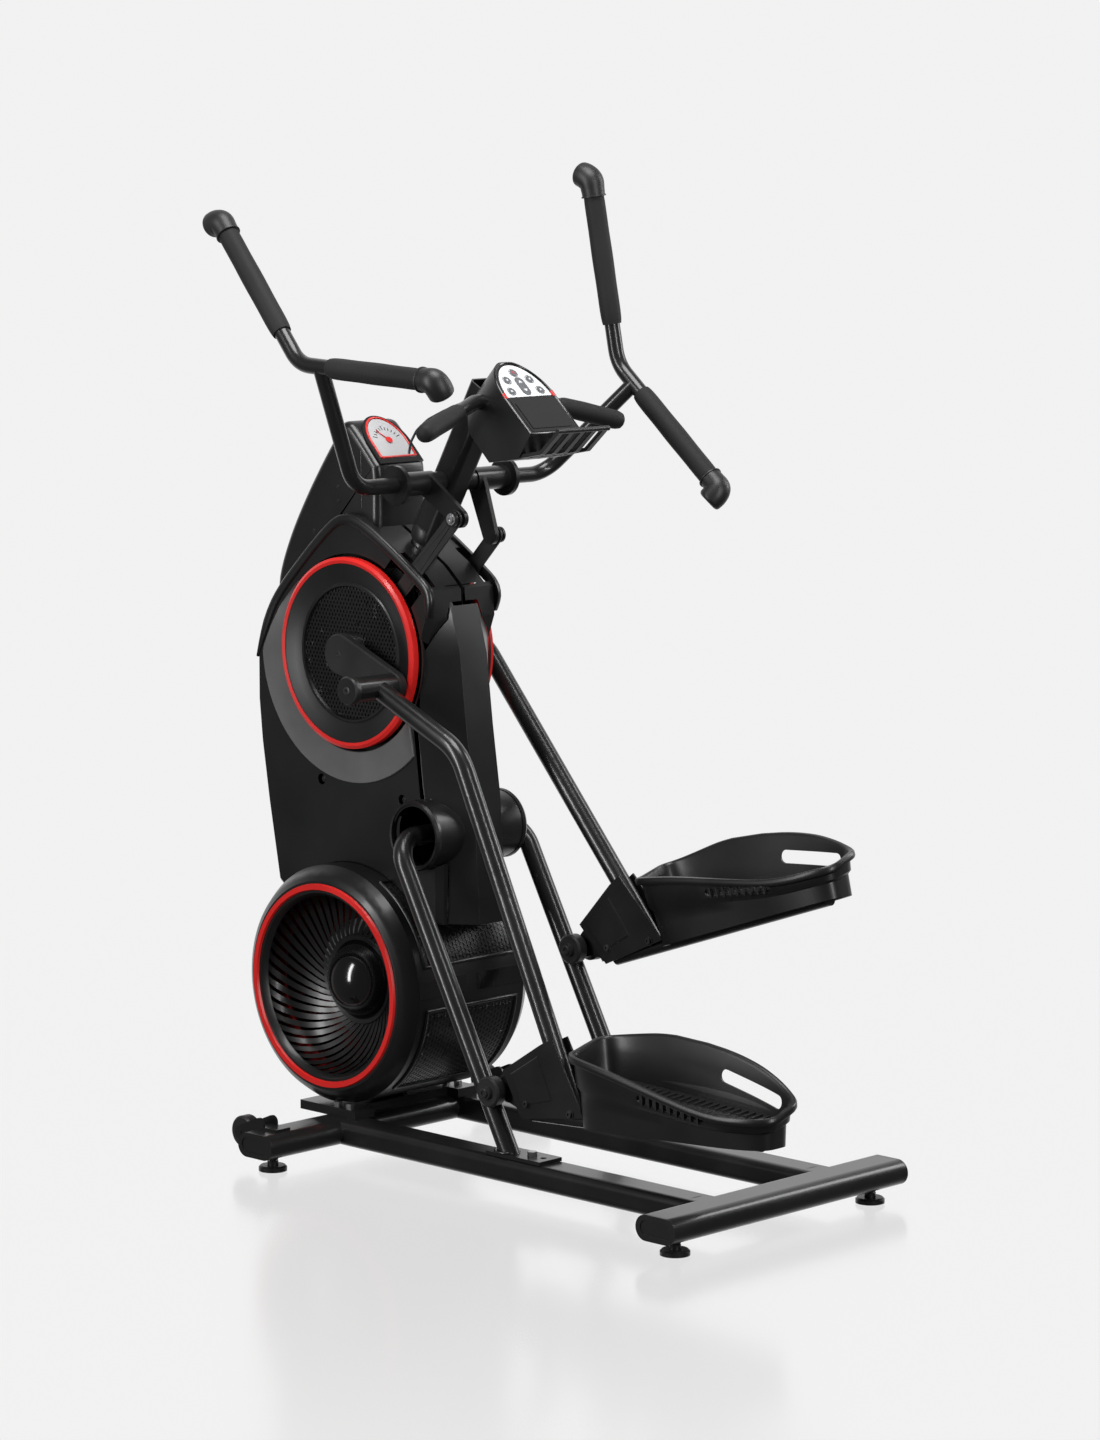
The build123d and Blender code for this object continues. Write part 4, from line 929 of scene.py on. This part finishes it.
def leg_trim(side, name):
    """Bracket faces, crank-pin cap and the roller's axle bolts."""
    axle = joint_place(f"{name}_leg_tilt")
    for face, label in ((-1, "out"), (1, "in")):
        bracket_trim(side, name, face, label)
        bolt_head(f"{name}_roller_bolt_{label}", spot(side * TRACK_X + face * 37.5, *axle),
                  (face, 0, 0), 7.5, 4.5, f"{name}_carriage")
    crank_pin_cap(side, name)


# ---- console ------------------------------------------------------------------------------------
KEYS = ((-32, 14), (-25, 38), (0, 53), (25, 38), (32, 14))
START_KEY = 3


def console_bezel():
    """Gloss bezel round the console's face, with two red accents."""
    edge = [(-55.5, -76), (55.5, -76)]
    edge += [(55.5 * math.cos(a), 76 * math.sin(a)) for a in [math.radians(d) for d in range(0, 181, 6)]]
    loop = [[*console_spot(u, v, -0.4), 2.0 * MM] for u, v in edge]
    cover_piece("console_bezel", swept(loop + loop[:1], 10), 60, GLOSS)
    for number, (u0, u1) in enumerate(((50, 57.2), (-57.2, -50)), 1):
        outline = [(u0, 0), (u1, 0), (u1, 13), (u0, 9)]
        raised(f"console_accent_{number}", outline, console_spot, -0.5, 1.2, RED, "red_plastic")


def console_key(number, u, v):
    """Ring round a key, and a star mark on it with six or eight corners."""
    ring = [[*console_spot(u + 8.1 * math.cos(a), v + 8.1 * math.sin(a), 0.55), 0.55 * MM]
            for a in circle(32)]
    cover_piece(f"console_key_ring_{number}", swept(ring + ring[:1], 8), 60, SATIN_GREY)
    star = [(u + reach * math.cos(a), v + reach * math.sin(a))
            for a, reach in zip(circle(6 + 2 * (number % 2)), (1.5, 2.8) * 4)]
    material, slot = (RED, "red_plastic") if number == START_KEY else (WHITE, "panel_white")
    raised(f"console_key_mark_{number}", star, console_spot, 1.55, 1.85, material, slot,
           f"console_key_{number}")


def console_trim():
    """Bezel, keys, level arrows and screen glass."""
    console_bezel()
    for number, (u, v) in enumerate(KEYS, 1):
        console_key(number, u, v)
    for name, v, flip in (("up", 33, 1), ("down", 15, -1)):
        arrow = [(-4, v - 2.2 * flip), (4, v - 2.2 * flip), (0, v + 3.4 * flip)]
        raised(f"level_key_{name}", arrow, console_spot, 1.55, 1.85, WHITE, "panel_white", "level_key")
    screen = [(-43, -66), (43, -66), (43, -12), (-43, -12)]
    raised("console_screen_glass", screen, console_spot, 0.4, 1.3, GLOSS, "cover_plastic")


# ---- base detail --------------------------------------------------------------------------------
def weld(name, bead, ring=8):
    """A closed weld bead along points (x, y, z, radius) in design millimetres."""
    path = [[*spot(x, y, z), radius * MM] for x, y, z, radius in bead]
    piece(name, swept(path + path[:1], ring), PAINT, "root", "frame_metal", 60)


def base_trim():
    """Weld beads where the rails and the tracks meet the frame."""
    for side, name in SIDES:
        for number, y in enumerate((40, 788), 1):
            weld(f"rail_weld_{name}_{number}",
                 [(side * 133 + math.copysign(abs(math.cos(a)) ** 0.5, math.cos(a)) * 29, y,
                   45 + math.copysign(abs(math.sin(a)) ** 0.5, math.sin(a)) * 18,
                   2.4 + 0.4 * math.sin(5 * a)) for a in circle(24)])
        weld(f"track_weld_{name}_1",
             [(side * TRACK_X + 17.5 * math.cos(a), 434.5 + 20 * math.sin(a), 72.6,
               2.2 + 0.4 * math.sin(7 * a)) for a in circle(32)])


dress_frame()
round_edges()
hood()
fan_grilles()
fan_windows()
for side, name in SIDES:
    crank_disc(side, name)
    tower_dish(side, name)
    tower_border(side, name)
gauge()
mast_trim()
arm_grips()
static_grips()
for side, name in SIDES:
    foot_tray(side, name)
    leg_trim(side, name)
console_trim()
base_trim()


# ---- floor, lights and camera -------------------------------------------------------------------
FLOOR_RADIUS = 6.0


def polished_floor():
    """Clear, with a soft reflection that fades with distance."""
    material = bpy.data.materials.new("pale_floor")
    material.use_nodes = True
    tree = material.node_tree
    link = tree.links.new
    tree.nodes.remove(tree.nodes["Principled BSDF"])
    place = add_node(tree, "ShaderNodeTexCoord")
    length = add_node(tree, "ShaderNodeVectorMath", operation="LENGTH")
    link(place.outputs["Object"], length.inputs[0])
    fade = add_node(tree, "ShaderNodeMapRange",
                    {"From Min": 0.4, "From Max": 2.6, "To Min": 0.20, "To Max": 0.0},
                    interpolation_type="SMOOTHSTEP")
    link(length.outputs["Value"], fade.inputs["Value"])
    clear = add_node(tree, "ShaderNodeBsdfTransparent", {"Color": (1, 1, 1, 1)})
    polish = add_node(tree, "ShaderNodeBsdfGlossy", {"Color": (1, 1, 1, 1), "Roughness": 0.17})
    mix = add_node(tree, "ShaderNodeMixShader")
    link(fade.outputs["Result"], mix.inputs["Fac"])
    link(clear.outputs["BSDF"], mix.inputs[1])
    link(polish.outputs["BSDF"], mix.inputs[2])
    link(mix.outputs["Shader"], tree.nodes["Material Output"].inputs["Surface"])
    return material


def floor():
    """A wide round floor just under the feet."""
    mesh = bpy.data.meshes.new("floor")
    edge = [(FLOOR_RADIUS * math.cos(a), FLOOR_RADIUS * math.sin(a), -0.0004) for a in circle(96)]
    mesh.from_pydata(edge, [], [tuple(range(96))])
    mesh.materials.append(polished_floor())
    thing = bpy.data.objects.new("floor", mesh)
    bpy.context.scene.collection.objects.link(thing)
    return thing


def area_light(name, place, target, size, power, skipped):
    """A rectangular soft light that leaves the skipped collection unlit."""
    light = bpy.data.lights.new(name, "AREA")
    light.shape = "RECTANGLE"
    light.size, light.size_y = size
    light.energy = power
    thing = bpy.data.objects.new(name, light)
    thing.location = place
    thing.rotation_euler = (Vector(target) - Vector(place)).to_track_quat("-Z", "Y").to_euler()
    bpy.context.scene.collection.objects.link(thing)
    thing.light_linking.receiver_collection = skipped


BACKDROP = (0.885, 0.885, 0.885, 1)
BACKDROP_WAY = (0.717, 0.697, 0.0)


def backdrop():
    """An even pale surround, bright behind the machine and dim in front, so black keeps its depth."""
    world = bpy.data.worlds.new("studio")
    bpy.context.scene.world = world
    world.use_nodes = True
    tree = world.node_tree
    link = tree.links.new
    shown = tree.nodes["Background"]
    shown.inputs["Color"].default_value = BACKDROP
    lit = add_node(tree, "ShaderNodeBackground", {"Color": BACKDROP})
    place = add_node(tree, "ShaderNodeTexCoord")
    facing = add_node(tree, "ShaderNodeVectorMath", {1: BACKDROP_WAY}, operation="DOT_PRODUCT")
    link(place.outputs["Generated"], facing.inputs[0])
    spread = add_node(tree, "ShaderNodeMapRange",
                      {"From Min": 0.25, "From Max": 0.85, "To Min": 0.10, "To Max": 1.0},
                      interpolation_type="SMOOTHSTEP")
    link(facing.outputs["Value"], spread.inputs["Value"])
    link(spread.outputs["Result"], lit.inputs["Strength"])
    ray = add_node(tree, "ShaderNodeLightPath")
    mix = add_node(tree, "ShaderNodeMixShader")
    link(ray.outputs["Is Camera Ray"], mix.inputs["Fac"])
    link(lit.outputs["Background"], mix.inputs[1])
    link(shown.outputs["Background"], mix.inputs[2])
    link(mix.outputs["Shader"], tree.nodes["World Output"].inputs["Surface"])


def studio(floor_piece):
    """Tall strips for long highlights, a soft top light, and the backdrop."""
    backdrop()
    skipped = bpy.data.collections.new("kept_out_of_the_lights")
    skipped.objects.link(floor_piece)
    skipped.collection_objects[0].light_linking.link_state = "EXCLUDE"
    area_light("strip_left", (-3.2, 0.9, 1.6), (0, 0.1, 0.8), (0.5, 3.0), 80, skipped)
    area_light("strip_rear", (-0.6, -3.4, 1.7), (0, 0, 0.8), (0.45, 2.8), 60, skipped)
    area_light("fill_right", (2.6, -1.2, 2.2), (0, 0, 0.7), (0.8, 2.2), 40, skipped)
    area_light("top", (-0.4, -0.4, 3.6), (0, 0, 0.4), (1.6, 1.6), 80, skipped)


CAMERA_PLACE = (-4991.45, -4374.14, 1681.98)  # design millimetres
CAMERA_RIGHT = Vector((0.69708672, -0.71698683, 0.0))
CAMERA_UP = Vector((0.09642458, 0.0937483, 0.99091551))
CAMERA_LENS = 111.22


def camera():
    data = bpy.data.cameras.new("camera")
    data.lens = CAMERA_LENS
    data.sensor_width = 36
    data.clip_end = 60
    turn = Matrix((CAMERA_RIGHT, CAMERA_UP, CAMERA_RIGHT.cross(CAMERA_UP))).transposed()
    thing = bpy.data.objects.new("camera", data)
    thing.matrix_world = Matrix.Translation(spot(*CAMERA_PLACE)) @ turn.to_4x4()
    bpy.context.scene.collection.objects.link(thing)
    bpy.context.scene.camera = thing


studio(floor())
camera()
bpy.context.scene.view_settings.view_transform = "Standard"
